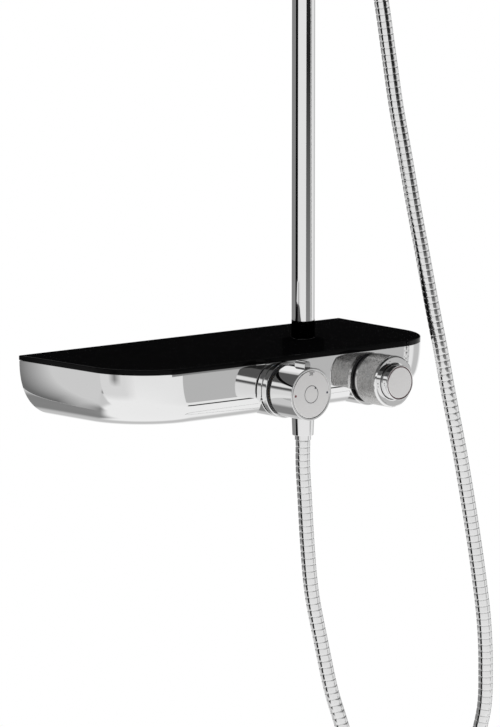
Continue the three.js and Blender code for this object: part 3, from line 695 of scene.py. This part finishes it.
def add_casing():
    outlines = []
    for inset, depth in list(edge_steps(CASING_EDGE))[:-1]:
        outlines.append(plan_outline(CASING_HIGH.z - depth, inset, inset,
                                     CASING_HIGH.y - inset))
    for drop in casing_levels(CASING_HEIGHT, 72):
        if drop >= CASING_EDGE:
            outlines.append(casing_outline(drop, 0))
    shell = loft("body_casing_fine", outlines)

    inside = [casing_outline(drop, CASING_WALL, 0.4)
              for drop in casing_levels(CASING_HEIGHT - CASING_WALL, 24)]
    lid = casing_outline(0, CASING_WALL, 0.4)
    lid = [(x, y, z + 5 * MM) for x, y, z in lid]
    cavity = loft("cavity", [lid, *inside])

    bosses = []
    bores = []
    for node, bore in (("temperature_knob_face", 20.5 * MM), ("flow_knob_bezel", 18.5 * MM)):
        place = outward(node)[0]
        start = -FRONT_Y
        profile = disc_profile(BOSS_RADIUS, start - 52 * MM, start - 0.2 * MM)
        bosses.append(lathe("boss", rounded(profile, 0.5 * MM), place, 160))
        bores.append(lathe("bore", disc_profile(bore, start - 75 * MM, start + 5 * MM), place))
    for node in ("hot_escutcheon", "cold_escutcheon"):
        place = outward(node)[0]
        back = -CASING_HIGH.y
        bores.append(lathe("inlet_bore", disc_profile(19 * MM, back - 5 * MM, back + 8 * MM),
                           place))
    place = upright("hose_nut")[0]
    bores.append(lathe("outlet_bore", disc_profile(12 * MM, -40 * MM, 0), place))
    shell = cut(join(shell, *bosses), cavity, *bores)
    stand_in(shell, "body_casing", "chrome", 24)


def add_escutcheons():
    for side in ("hot", "cold"):
        node = f"{side}_escutcheon"
        place, radius, low, high = outward(node)
        bore = 14 * MM
        profile = [(bore, low), (radius, low), (radius, low + 3 * MM), (radius - 5 * MM, high),
                   (bore, high), (bore, low)]
        turned(node, profile, place, 2, steps=6)


# ------------------------------------------------------------------ temperature control

INK_HEIGHT = 0.04 * MM                      # how proud a printed mark stands
INK_ROOT = 0.1 * MM                         # and how far it reaches into the metal
KNOB_BORE = 14 * MM
KNOB_BORE_DEPTH = 16 * MM
KNOB_FACE_SEAT = (22.2 * MM, 1.4 * MM)      # radius and depth
BUTTON_ROOM = 0.4 * MM


def add_temperature_knob():
    """A smooth cylinder with a seat for its face and a slot for the safety button."""
    place, radius, low, high = outward("temperature_knob")
    seat, seat_depth = KNOB_FACE_SEAT
    shell = [(KNOB_BORE, low), (radius, low), (radius, high), (seat, high),
             (seat, high - seat_depth)]
    inside = [(0, high - seat_depth), (0, low + KNOB_BORE_DEPTH),
              (KNOB_BORE, low + KNOB_BORE_DEPTH), (KNOB_BORE, low)]
    profile = rounded(shell, 0.5 * MM) + inside
    knob = lathe("temperature_knob_fine", profile, place, 220)
    button_low, button_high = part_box("safety_button")
    slot_low = button_low - Vector((BUTTON_ROOM, BUTTON_ROOM, 3 * MM))
    slot_high = button_high + Vector((BUTTON_ROOM, BUTTON_ROOM, 9 * MM))
    knob = cut(knob, block("slot", slot_low, slot_high))
    stand_in(knob, "temperature_knob", "chrome", 28)


def add_temperature_rings():
    place, radius, low, high = outward("temperature_collar")
    profile = washer_profile(radius, radius - 3.8 * MM, low, high)
    turned("temperature_collar", profile, place, 0.7, 160)
    for node, lip in (("temperature_stop_ring", 1.3 * MM), ("flow_stop_ring", 0)):
        place, radius, low, high = outward(node)
        profile = washer_profile(radius + lip, radius - 3.8 * MM, low, high)
        turned(node, profile, place, 0.4, slot="black_plastic")


def add_temperature_face():
    place, radius, low, high = outward("temperature_knob_face")
    circle = 8 * MM
    groove = 0.35 * MM
    profile = [(0, low), (radius, low), (radius, high - 0.3 * MM), (radius - 0.3 * MM, high),
               (circle + groove, high), (circle, high - 0.3 * MM), (circle - groove, high),
               (0, high)]
    face = turned("temperature_knob_face", profile, place, 0, 160, slot="satin_metal")
    face.data.materials[0] = SPUN_METAL

    top = high + INK_HEIGHT
    body = "temperature_knob"
    # The dial circle: a dark grey ring laid in the engraved groove, painted shade of a groove too
    # fine to shade itself.
    ring = washer_profile(circle + 0.2 * MM, circle - 0.2 * MM, high - 0.25 * MM, top)
    dress(lathe("dial_circle_groove_shade", ring, place, 128), body, GREY_INK_AND_GROOVE_SHADE)
    dots = [("dial_index", 7.3, 41, 0.95, BLACK_INK_AND_GAP_SHADE), ("dial_hot", 19.0, 270, 1.15, RED_INK),
            ("dial_cold", 19.1, 90, 1.05, BLUE_INK)]
    for name, distance, clock, size, inkwell in dots:
        turn = math.radians(clock)
        shift = Matrix.Translation((distance * MM * math.sin(turn),
                                    distance * MM * math.cos(turn), 0))
        profile = disc_profile(size * MM, high - INK_ROOT, top)
        dress(lathe(name, profile, place @ shift, 32), body, inkwell)
    add_dial_number(place, top)


def add_dial_number(place, height):
    """The usual safety temperature, printed near the top of the dial."""
    text = bpy.data.curves.new("dial_number", "FONT")
    text.body = "38°"
    text.size = 5.0 * MM
    text.align_x = "CENTER"
    text.extrude = INK_HEIGHT
    source = bpy.data.objects.new("dial_text", text)
    SCENE.collection.objects.link(source)
    bpy.context.view_layer.update()
    depsgraph = bpy.context.evaluated_depsgraph_get()
    data = bpy.data.meshes.new_from_object(source.evaluated_get(depsgraph))
    bpy.data.objects.remove(source)
    data.transform(place @ Matrix.Translation((0.4 * MM, 17.6 * MM, height)))
    number = bpy.data.objects.new("dial_number", data)
    SCENE.collection.objects.link(number)
    dress(number, "temperature_knob", GREY_INK_AND_GROOVE_SHADE)


def add_safety_button():
    low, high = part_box("safety_button")
    middle = (low + high) / 2
    half = high.x - middle.x
    chamfer = 1.8 * MM
    outline = [(middle.x - half, low.z), (middle.x + half, low.z),
               (middle.x + half, high.z - chamfer), (middle.x + half - chamfer, high.z),
               (middle.x - half + chamfer, high.z), (middle.x - half, high.z - chamfer)]
    button = loft("safety_button_fine", [[(x, y, z) for x, z in outline]
                                         for y in (low.y, high.y)])
    edge = button.modifiers.new("edges", "BEVEL")
    edge.width = 0.45 * MM
    edge.segments = 4
    stand_in(button, "safety_button", "chrome")
    # Two black dots near the bottom of the button's face: painted shadow of the gap between the
    # button and the face's rim.
    for side in (-1, 1):
        spot = Matrix.Translation((middle.x + side * 2.2 * MM, 0, low.z + 5.6 * MM)) @ OUT_OF_WALL
        profile = disc_profile(0.5 * MM, -low.y - 0.2 * MM, -low.y + 0.03 * MM)
        dress(lathe(f"safety_button_gap_shade_{(side + 3) // 2}", profile, spot, 24), "safety_button",
              BLACK_INK_AND_GAP_SHADE)


# ------------------------------------------------------------------ flow control

KNURL_COLUMNS = 98
KNURL_DEPTH = 0.75 * MM


def knurl_crest(radius, row):
    """The radius round one row of the knurl: every second place is a crest."""
    return lambda i: radius - (0 if (i + row) % 2 == 0 else KNURL_DEPTH)


def add_flow_knob():
    place, radius, low, high = outward("flow_knob")
    bore = 16.9 * MM
    ring_radius = radius - 0.6 * MM
    end_radius = radius - 0.8 * MM
    knurl_start = low + 3.2 * MM
    knurl_end = high - 0.2 * MM
    half_pitch = math.pi * radius / KNURL_COLUMNS
    rows = round((knurl_end - knurl_start) / half_pitch)
    profile = [(bore, low), (ring_radius - 0.5 * MM, low), (ring_radius, low + 0.5 * MM),
               (ring_radius, knurl_start - 0.6 * MM), (end_radius, knurl_start - 0.4 * MM)]
    first = len(profile)
    for row in range(rows + 1):
        height = knurl_start + (knurl_end - knurl_start) * row / rows
        profile.append((knurl_crest(radius, first + row), height))
    profile += [(end_radius, high), (bore, high), (bore, low)]

    def knurled(row):
        return first <= row < first + rows

    knob = lathe("flow_knob_fine", profile, place, KNURL_COLUMNS * 2, knurled)
    stand_in(knob, "flow_knob", "satin_metal", 20)
    knob.data.materials[0] = KNURLED_METAL


def add_flow_bezel():
    place, radius, low, high = outward("flow_knob_bezel")
    bore = 16.9 * MM
    profile = [(bore, low), (radius, low), (radius - 0.2 * MM, high - 1 * MM),
               (radius - 1.4 * MM, high), (bore + 1.2 * MM, high), (bore, high - 0.6 * MM),
               (bore, low)]
    turned("flow_knob_bezel", profile, place, 0.35, 192)
    dot = Matrix.Translation((-20.4 * MM, 0, 0))
    profile = disc_profile(0.6 * MM, high - INK_ROOT, high + INK_HEIGHT)
    dress(lathe("flow_index", profile, place @ dot, 24), "flow_knob", BLACK_INK_AND_GAP_SHADE)
    for i, clock in enumerate((262, 305, 318, 331, 344)):
        arc_mark(f"flow_mark_{i + 1}", place, 20.4 * MM, 0.28 * MM, clock - 2, clock + 2, high)
    arc_mark("flow_range", place, 21.6 * MM, 0.12 * MM, 205, 258, high)


def arc_mark(name, place, radius, half_width, start, end, height):
    """A short printed arc on the bezel, between two clock angles in degrees."""
    steps = 16
    inner, outer = radius - half_width, radius + half_width
    bottom, top = height - INK_ROOT, height + INK_HEIGHT
    outlines = []
    for i in range(steps + 1):
        angle = math.radians(start + (end - start) * i / steps)
        outlines.append([(reach * math.sin(angle), reach * math.cos(angle), level)
                         for reach, level in ((inner, bottom), (outer, bottom), (outer, top),
                                              (inner, top))])
    dress(loft(name, outlines, place), "flow_knob", BLACK_INK_AND_GAP_SHADE)


def add_push_button():
    place, radius, low, high = outward("push_button")
    seat = 15.5 * MM
    profile = [(0, low), (radius, low), (radius, high), (seat, high), (seat, high - 1.5 * MM),
               (0, high - 1.5 * MM)]
    turned("push_button", profile, place, 0.7, 160, 5)

    place, face_radius, low, face_high = outward("push_button_face")
    profile = [(0, low), (face_radius, low), (face_radius, face_high - 0.3 * MM),
               (face_radius - 0.3 * MM, face_high), (0, face_high)]
    face = turned("push_button_face", profile, place, 0, 160, slot="satin_metal")
    face.data.materials[0] = SPUN_METAL
    # A dark reddish ring filling the gap between the face and its seat: painted shade of the gap.
    profile = washer_profile(seat - 0.03 * MM, face_radius + 0.05 * MM, high - 1.4 * MM,
                             high - 0.05 * MM)
    dress(lathe("push_button_gap_shade", rounded(profile, 0.15 * MM), place, 160), "push_button",
          PAINTED_GAP_SHADE)


# ------------------------------------------------------------------ riser and wall bracket

def add_riser():
    place, radius, low, high = upright("riser_pipe")
    turned("riser_pipe", washer_profile(radius, radius - 1.5 * MM, low, high), place, 0.3, 160)


def add_bracket():
    place, radius, low, high = outward("bracket_rosette")
    profile = [(radius - 2.6 * MM, low), (radius, low), (radius, high - 2.5 * MM),
               (radius - 3 * MM, high), (13.6 * MM, high), (13.6 * MM, high - 1.4 * MM),
               (radius - 2.6 * MM, high - 1.4 * MM), (radius - 2.6 * MM, low)]
    turned("bracket_rosette", profile, place, 1.2, 128, 6)

    riser, riser_radius = upright("riser_pipe")[:2]
    axis = riser.translation
    height = place.translation.z
    post = lathe("bracket_post_fine", disc_profile(13 * MM, 7 * MM, -axis.y - 8 * MM), place)
    clamp = Matrix.Translation((axis.x, axis.y, height))
    collar = lathe("clamp", rounded(disc_profile(16 * MM, -13 * MM, 13 * MM), 1.5 * MM, 5), clamp,
                   128)
    bore = lathe("bore", disc_profile(riser_radius + 0.3 * MM, -20 * MM, 20 * MM), clamp, 128)
    socket = lathe("socket", disc_profile(9.3 * MM, 0, 9.4 * MM), place)
    hole = Matrix.Translation((axis.x, axis.y + 40 * MM, height))
    screw_hole = lathe("hole", disc_profile(2 * MM, -20 * MM, -4 * MM), hole, 32)
    post = cut(join(post, collar), bore, socket, screw_hole)
    stand_in(post, "bracket_post", "chrome")


# ------------------------------------------------------------------ overhead arm and rain head

ARM_RADIUS = 10 * MM
ARM_BEND = 60 * MM
ARM_DROP_BEND = 40 * MM
ARM_FOOT_HEIGHT = 12 * MM


def quadratic(start, corner, end, steps):
    for i in range(steps):
        share = i / steps
        yield start.lerp(corner, share).lerp(corner.lerp(end, share), share)


def add_arm():
    riser, riser_radius = upright("riser_pipe")[:2]
    x, y = riser.translation.x, riser.translation.y
    low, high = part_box("overhead_arm")
    tip, _, _, tip_high = upright("ball_nut")
    end = tip.translation.y
    level = high.z - ARM_RADIUS
    foot = low.z

    path = [Vector((x, y, foot + MM))]
    path += quadratic(Vector((x, y, level - ARM_BEND)), Vector((x, y, level)),
                      Vector((x, y - ARM_BEND, level)), 32)
    path += quadratic(Vector((x, end + ARM_DROP_BEND, level)), Vector((x, end, level)),
                      Vector((x, end, tip_high + 4 * MM)), 32)
    path.append(Vector((x, end, tip_high + 4 * MM)))
    arm = tube("overhead_arm_fine", path, [ARM_RADIUS] * len(path), 72)

    cap_radius = 15 * MM
    profile = [(0, foot), (cap_radius, foot), (cap_radius, foot + 9 * MM),
               (cap_radius - 2 * MM, foot + ARM_FOOT_HEIGHT), (0, foot + ARM_FOOT_HEIGHT)]
    foot_cap = lathe("foot", rounded(profile, 0.8 * MM), riser)
    tip_start = tip_high + 0.3 * MM
    end_cap = lathe("tip", rounded(disc_profile(12 * MM, tip_start, tip_start + 14 * MM), MM),
                    tip)
    well = lathe("well", disc_profile(7 * MM, tip_start - 5 * MM, tip_start + 10 * MM), tip)
    hollow = lathe("hollow", disc_profile(8.7 * MM, foot - 5 * MM, foot + 6 * MM), riser)
    arm = cut(join(arm, foot_cap, end_cap), well, hollow)
    stand_in(arm, "overhead_arm", "chrome")

    place, radius, low, high = upright("swivel_collar")
    profile = [(riser_radius + 0.3 * MM, low), (radius - MM, low), (radius, low + MM),
               (radius, high), (riser_radius + 0.3 * MM, high), (riser_radius + 0.3 * MM, low)]
    turned("swivel_collar", profile, place, 0.4, 128)


def add_ball_joint():
    place, radius, low, high = upright("ball_nut")
    profile = [(7 * MM, high), (radius - MM, high), (radius, high - 2 * MM), (radius, low),
               (9.1 * MM, low), (9.8 * MM, low + 4 * MM), (8.8 * MM, low + 9 * MM),
               (7 * MM, low + 13 * MM), (7 * MM, high)]
    turned("ball_nut", profile, place, 0.5)

    place, radius, low, high = upright("overhead_ball")
    neck = 5.5 * MM
    profile = []
    steps = 24
    last = math.asin(neck / radius)
    for i in range(steps + 1):
        angle = (math.pi - last) * i / steps
        profile.append((radius * math.sin(angle), high - radius + radius * math.cos(angle)))
    profile += [(neck, low), (0, low)]
    turned("overhead_ball", profile, place, slot="brass")


def add_rain_head():
    place, radius, low, high = upright("overhead_shell")
    edge = 3 * MM
    profile = [(0, high), (13 * MM, high), (14 * MM, high - MM), (14.5 * MM, high - 5 * MM),
               (40 * MM, high - 8 * MM), (radius - edge, low + 7.5 * MM), (radius, low + 5 * MM),
               (radius, low), (radius - edge, low), (radius - edge, low + 4.5 * MM),
               (40 * MM, high - 11 * MM), (0, high - 11 * MM)]
    turned("overhead_shell", profile, place, 1.6, 192, 6)
    place, radius, low, high = upright("overhead_nozzle_mat")
    add_nozzle_mat("overhead", place, radius, high - 1.8 * MM, high, low, 9, 12.5 * MM, -1)


def nozzle_profile(base, tip, direction):
    """A soft nozzle with a drilled end."""
    length = abs(tip - base)
    points = [(0, 0), (2.3 * MM, 0), (1.9 * MM, 0.25 * length), (1.35 * MM, length),
              (0.6 * MM, length), (0.6 * MM, 0.7 * length), (0, 0.7 * length)]
    return [(radius, base + direction * height) for radius, height in points]


def add_nozzle_mat(name, place, radius, low, high, tip, circles, spacing, direction):
    """A round silicone mat with its nozzles in circles; direction is the way they point."""
    node = f"{name}_nozzle_mat"
    turned(node, disc_profile(radius, low, high), place, 0.4, 160, slot="silicone")
    base = low if direction < 0 else high
    mesh = bmesh.new()
    sides = 14
    for circle in range(circles):
        count = max(1, circle * 6)
        for i in range(count):
            angle = 2 * math.pi * (i + circle / 2) / count
            centre = Vector((circle * spacing * math.cos(angle),
                             circle * spacing * math.sin(angle), 0))
            start = len(mesh.verts)
            rings = [ring_of(mesh, ring, height, sides)
                     for ring, height in nozzle_profile(base, tip, direction)]
            skin(mesh, rings)
            mesh.verts.ensure_lookup_table()
            for vertex in mesh.verts[start:]:
                vertex.co += centre
    nozzles = dress(make(f"{name}_nozzles", mesh, place), NODES[node]["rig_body"],
                    FINISHES["silicone"])


# ------------------------------------------------------------------ slider, holder, hand shower

def add_slider():
    bush, _, bush_low, bush_high = upright("slider_bush")
    axis = bush.translation
    middle = (bush_low + bush_high) / 2
    half = (bush_high - bush_low) / 2 + 2 * MM
    place = Matrix.Translation((axis.x, axis.y, middle))
    hub = lathe("slider_body_fine", rounded(disc_profile(19 * MM, -half, half), 3 * MM, 8), place,
                128)
    reach = Matrix.Translation((axis.x, axis.y, middle - 8 * MM)) @ OUT_OF_WALL
    arm = lathe("arm", disc_profile(12 * MM, 0, HOLDER_REACH - 14 * MM), reach)
    tilted = holder_place()
    cup = [(0, -18), (16.5, -18), (19, 14), (0, 14)]
    cone = [(0, -19), (10.9, -19), (14, 15), (0, 15)]
    cup = lathe("cup", rounded(scaled(cup), 1.2 * MM, 5), tilted, 128)
    cone = lathe("cone", scaled(cone), tilted, 128)
    mouth = block("mouth", Vector((-8.2, -26, -30)) * MM, Vector((8.2, 0, 20)) * MM, tilted)
    bore = lathe("bore", disc_profile(13 * MM, -40 * MM, 40 * MM), place, 128)
    sideways = Matrix.Translation((axis.x, axis.y, middle + 4 * MM)) @ Matrix.Rotation(
        math.radians(90), 4, "Y")
    button_bore = lathe("button_bore", disc_profile(8.3 * MM, 10 * MM, 40 * MM), sideways)
    body = cut(join(hub, arm, cup), cone, mouth, bore, button_bore)
    stand_in(body, "slider_body", "chrome")

    low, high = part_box("slider_button")
    profile = disc_profile(7.9 * MM, low.x - axis.x, high.x - axis.x)
    profile = [*profile[:-1], (6 * MM, profile[2][1]), (0, profile[2][1] - 0.5 * MM)]
    turned("slider_button", profile, sideways, 0.8)


HANDLE_SECTIONS = [(17.3, 13.2, 13.2), (40, 12.6, 12.8), (80, 12.2, 13.2), (120, 12.6, 14),
                   (150, 15, 15), (165, 19, 15)]      # height, half width, half depth
HANDSET_FACE_TILT = math.radians(94)


def handset_place():
    shift = Matrix.Translation(Vector((0, -4, 196)) * MM)
    return holder_place() @ shift @ Matrix.Rotation(HANDSET_FACE_TILT, 4, "X")


def add_handset():
    sections = curve_through([Vector(section) * MM for section in HANDLE_SECTIONS], 10)
    outlines = []
    sides = 96
    for height, wide, deep in sections:
        turns = [2 * math.pi * i / sides for i in range(sides)]
        outlines.append([(wide * math.cos(turn), deep * math.sin(turn), height)
                         for turn in turns])
    handle = loft("handset_body_fine", outlines, holder_place())
    face = handset_place()
    head = [(0, -16), (18, -15.6), (30, -14), (40, -10.6), (48, -6), (51, -3), (52, 0), (52, 7),
            (51, 8.8), (49.5, 9), (49.5, 4), (0, 4)]
    head = lathe("head", rounded(scaled(head), 6 * MM, 8), face, 160)
    spigot = lathe("spigot", rounded(scaled(washer_profile(8.6, 5.5, 5.3, 17.6)), 0.4 * MM),
                   holder_place())
    recess = lathe("recess", scaled(disc_profile(49.5, 4, 40)), face, 160)
    before = lathe("before", scaled(disc_profile(70, 9, 40)), face)
    body = cut(join(handle, head, spigot), recess, before)
    stand_in(body, "handset_body", "chrome")

    ring = [(41, 4.3), (49, 4.3), (49, 8), (47, 8.6), (43, 8.6), (41, 7.6), (41, 4.3)]
    turned("handset_face_ring", scaled(ring), face, 0.6, 160)
    add_nozzle_mat("handset", face, 40.7 * MM, 4.3 * MM, 7.4 * MM, 10 * MM, 5, 8.6 * MM, 1)


# ------------------------------------------------------------------ what is kept from the CAD

CAD_SLOTS = {
    "brass": ["valve_body", "hot_inlet_union", "cold_inlet_union", "hot_union_nut",
              "cold_union_nut", "thermostatic_cartridge", "thermostat_nut", "flow_cartridge",
              "hose_outlet_nipple"],
    "rubber": ["hot_filter_washer", "cold_filter_washer", "riser_seal", "swivel_washer",
               "hose_washer", "hose_cone_washer"],
    "grey_plastic": ["hot_check_valve", "cold_check_valve", "slider_bush"],
    "black_plastic": ["shelf_support"],
    "white_plastic": ["overhead_spray_plate"],
    "steel": ["knob_screw", "safety_button_spring", "push_button_spring", "bracket_wall_plate",
              "bracket_screw_upper", "bracket_screw_lower", "bracket_set_screw",
              "slider_button_spring"],
}


def finish_cad_nodes():
    for slot, names in CAD_SLOTS.items():
        for name in names:
            node = NODES[name]
            node.data.materials.clear()
            node.data.materials.append(FINISHES[slot])


# ------------------------------------------------------------------ studio

FLOOR_Z = -1.05
FLOOR_RADIUS = 2.2
TOWARDS_CAMERA = Vector((math.sin(CAMERA_AZIMUTH), -math.cos(CAMERA_AZIMUTH), 0))
# Soft panels round the object, as seen in its metal: azimuth from the camera, to the right,
# and elevation, both in degrees, half width, half height, softness and brightness.
PANELS = [
    ("rear_dark", 180, 10, 62, 8, 5, 0.004),
    ("rear_top_light", -162, 32, 22, 10, 6, 0.9),
    ("front_top_light", 5, 19, 70, 5, 4, 0.92),
    ("left_dim", -124, 2, 38, 18, 8, 0.25),
    ("left_low", -102, -30, 20, 14, 8, 0.62),
    ("low_back", -180, -30, 34, 9, 10, 0.56),
    ("low_left", -138, -38, 21, 9, 12, 0.24),
    ("left_stripe", -70, -4, 15.5, 23, 4, 0.006),
    ("front_card", 82.2, -6, 9, 7, 0.9, 0.5),
    ("front_line", 84.4, -26, 5.2, 2.8, 1.2, 0.03),
    ("right_dim", 140, -5, 16, 20, 10, 0.55),
]
LOW_LEVEL = 0.92            # below the horizon
FRONT_LEVEL = 0.85          # about level with the object
HIGH_LEVEL = 0.10           # overhead


def panel_mask(nodes, direction, azimuth, elevation, width, height, softness):
    """1 inside a soft-edged panel of the sky and 0 outside."""
    facing = Matrix.Rotation(math.radians(azimuth), 3, "Z") @ TOWARDS_CAMERA
    across = Matrix.Rotation(math.radians(90), 3, "Z") @ facing
    parts = []
    for axis in (across, facing):
        dot = nodes.add("ShaderNodeVectorMath", operation="DOT_PRODUCT")
        dot.inputs[1].default_value = axis
        nodes.link(direction, dot.inputs[0])
        parts.append(dot.outputs["Value"])
    sideways = edge_mask(nodes, nodes.calculate("ARCTAN2", *parts), 0, width, softness)
    upwards = edge_mask(nodes, elevation_of(nodes, direction), elevation, height, softness)
    return nodes.calculate("MULTIPLY", sideways, upwards)


def elevation_of(nodes, direction):
    split = nodes.add("ShaderNodeSeparateXYZ")
    nodes.link(direction, split.inputs[0])
    return nodes.calculate("ARCSINE", split.outputs["Z"])


def edge_mask(nodes, angle, centre, half, softness):
    offset = nodes.add("ShaderNodeMath", operation="SUBTRACT")
    nodes.link(angle, offset.inputs[0])
    offset.inputs[1].default_value = math.radians(centre)
    size = nodes.calculate("ABSOLUTE", offset.outputs[0])
    edge = nodes.add("ShaderNodeMapRange", interpolation_type="SMOOTHSTEP")
    nodes.link(size, edge.inputs["Value"])
    edge.inputs["From Min"].default_value = math.radians(half - softness / 2)
    edge.inputs["From Max"].default_value = math.radians(half + softness / 2)
    edge.inputs["To Min"].default_value = 1
    edge.inputs["To Max"].default_value = 0
    return edge.outputs["Result"]


def add_world():
    """A white studio whose soft panels show in the metal; the backdrop itself is white."""
    world = bpy.data.worlds.new("studio")
    world.use_nodes = True
    SCENE.world = world
    nodes = Nodes(world.node_tree)
    direction = nodes.add("ShaderNodeTexCoord").outputs["Generated"]
    height = elevation_of(nodes, direction)
    below = nodes.spread(height, LOW_LEVEL, FRONT_LEVEL, math.radians(-35), math.radians(-9))
    above = nodes.spread(height, 0, HIGH_LEVEL - FRONT_LEVEL, math.radians(4), math.radians(9))
    value = nodes.calculate("ADD", below, above)
    for name, azimuth, elevation, width, tall, softness, brightness in PANELS:
        mask = panel_mask(nodes, direction, azimuth, elevation, width, tall, softness)
        mix = nodes.add("ShaderNodeMix", data_type="FLOAT", label=name)
        nodes.link(mask, mix.inputs["Factor"])
        nodes.link(value, mix.inputs["A"])
        mix.inputs["B"].default_value = brightness
        value = mix.outputs["Result"]
    path = nodes.add("ShaderNodeLightPath")
    seen = nodes.add("ShaderNodeMix", data_type="FLOAT")
    nodes.link(path.outputs["Is Camera Ray"], seen.inputs["Factor"])
    nodes.link(value, seen.inputs["A"])
    seen.inputs["B"].default_value = 1
    background = nodes.add("ShaderNodeBackground")
    nodes.link(seen.outputs["Result"], background.inputs["Color"])
    output = nodes.add("ShaderNodeOutputWorld")
    nodes.link(background.outputs[0], output.inputs["Surface"])


def add_floor():
    """A plain pale floor, at the height a bathroom floor has below the mixer."""
    mesh = bmesh.new()
    bmesh.ops.create_circle(mesh, cap_ends=True, segments=128, radius=FLOOR_RADIUS)
    floor = make("floor", mesh, Matrix.Translation((0, -0.3, FLOOR_Z)))
    floor.data.materials.append(finish("pale_floor", (0.86, 0.86, 0.85), 0.7, vary=0.01,
                                       patches=3, grain=90, depth=0.05))
    floor.visible_glossy = False
    floor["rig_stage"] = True


def card_glow(name, level, fades=(), change=None):
    """Light of an even level, or one that changes along an axis, which may fade out at edges.

    A fade or a change is an axis, the place where it starts and the place where it ends. The
    card is clear at a fade's start, and the light has grown to change's last value at its end.
    """
    material = bpy.data.materials.new(name)
    material.use_nodes = True
    nodes = Nodes(material.node_tree)
    split = nodes.add("ShaderNodeSeparateXYZ")
    nodes.link(nodes.add("ShaderNodeTexCoord").outputs["Object"], split.inputs[0])
    light = nodes.add("ShaderNodeEmission")
    light.inputs["Color"].default_value = (level, level, level, 1)
    if change:
        axis, start, end, last = change
        nodes.link(nodes.spread(split.outputs[axis], level, last, start, end),
                   light.inputs["Color"])
    result = light.outputs[0]
    for axis, start, end in fades:
        mix = nodes.add("ShaderNodeMixShader")
        nodes.link(nodes.spread(split.outputs[axis], 0, 1, start, end), mix.inputs[0])
        nodes.link(nodes.add("ShaderNodeBsdfTransparent").outputs[0], mix.inputs[1])
        nodes.link(result, mix.inputs[2])
        result = mix.outputs[0]
    nodes.link(result, nodes.add("ShaderNodeOutputMaterial").inputs["Surface"])
    return material


def add_card(name, corners, bottom, top, glow):
    """An upright card through a line of (x, y) corners; only its reflection shows."""
    mesh = bmesh.new()
    rows = [[mesh.verts.new((x, y, z)) for x, y in corners] for z in (bottom, top)]
    for i in range(len(corners) - 1):
        mesh.faces.new((rows[0][i], rows[0][i + 1], rows[1][i + 1], rows[1][i]))
    card = make(name, mesh)
    card.data.materials.append(glow)
    card.visible_camera = False
    card.visible_diffuse = False
    card.visible_shadow = False
    card.visible_transmission = False
    card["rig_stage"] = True


def arc_about(axis, distance, first, last, step):
    """Places at a distance from an upright axis, between two azimuths from the camera."""
    for turn in range(first, last + 1, step):
        facing = Matrix.Rotation(math.radians(turn), 3, "Z") @ TOWARDS_CAMERA
        yield axis.x + facing.x * distance, axis.y + facing.y * distance


def add_cards():
    """Cards near the object, for what its neighbours don't mirror."""
    riser, radius, _, top = upright("riser_pipe")
    axis = riser.translation
    distance = 0.6
    bottom = SHELF_HIGH.z - distance * math.tan(CAMERA_ELEVATION)
    add_card("riser_card", list(arc_about(axis, distance, 27, 72, 3)), bottom, top,
             card_glow("riser_glow", 0.26, change=("Z", bottom, bottom + 0.3, 0.018)))
    add_card("foot_card", list(arc_about(axis, radius * 1.8, 0, 360, 15)),
             SHELF_HIGH.z + 0.05 * MM, SHELF_HIGH.z + 17 * MM, card_glow("foot_shade", 0))

    end = SHELF_LOW.x
    far = end - 0.2
    low = SHELF_LOW.z - 0.14
    soft_low = ("Z", low, low + 0.03)
    wall_y = 2 * MM
    add_card("end_card", [(far, wall_y), (end - 0.002, wall_y)], low, SHELF_LOW.z,
             card_glow("end_glow", 0.66, fades=[soft_low]))
    add_card("end_shade_card", [(far, 0), (end - 0.002, 0)], low, SHELF_LOW.z,
             card_glow("end_shade", 0.16, fades=[("X", end - 0.05, end - 0.006),
                                                 ("Z", low, low + 0.06)]))
    add_card("side_card", [(far, -0.3), (far, wall_y)], low - 0.06, SHELF_LOW.z,
             card_glow("side_glow", 0.74, fades=[("Y", -0.3, -0.2), ("Z", low - 0.06, low)]))
    patch = -0.13
    near = far + MM
    upper = [("Z", SHELF_LOW.z - 0.085, SHELF_LOW.z - 0.05)]
    add_card("corner_shade_front", [(near, patch - 0.05), (near, patch)], low, SHELF_LOW.z,
             card_glow("corner_shade_front", 0.25, fades=[("Y", patch - 0.05, patch), *upper]))
    add_card("corner_shade_back", [(near, patch), (near, patch + 0.05)], low, SHELF_LOW.z,
             card_glow("corner_shade_back", 0.25, fades=[("Y", patch + 0.05, patch), *upper]))


def add_soft_light(name, place, target, size, energy):
    """A large soft light, for shape on the plastics and on the floor; the metal doesn't show it."""
    light = bpy.data.lights.new(name, "AREA")
    light.size = size
    light.energy = energy
    lamp = bpy.data.objects.new(name, light)
    lamp.location = place
    lamp.rotation_euler = (Vector(target) - lamp.location).to_track_quat("-Z", "Y").to_euler()
    lamp.visible_glossy = False
    SCENE.collection.objects.link(lamp)


def build():
    SCENE.view_settings.view_transform = "Standard"
    add_camera()
    add_hose()
    add_glass()
    add_casing()
    add_escutcheons()
    add_temperature_rings()
    add_temperature_knob()
    add_temperature_face()
    add_safety_button()
    add_flow_knob()
    add_flow_bezel()
    add_push_button()
    add_riser()
    add_bracket()
    add_arm()
    add_ball_joint()
    add_rain_head()
    add_slider()
    add_handset()
    finish_cad_nodes()
    add_world()
    add_floor()
    add_cards()
    add_soft_light("key", (-1.4, -2.0, 2.2), (0, 0, 0.3), 1.6, 16)
    add_soft_light("ceiling", (0, -0.8, 3.2), (0, -0.8, 0), 4, 150)


build()
corners = [list(corner) for bounds in (cad_bounds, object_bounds()) for corner in bounds]
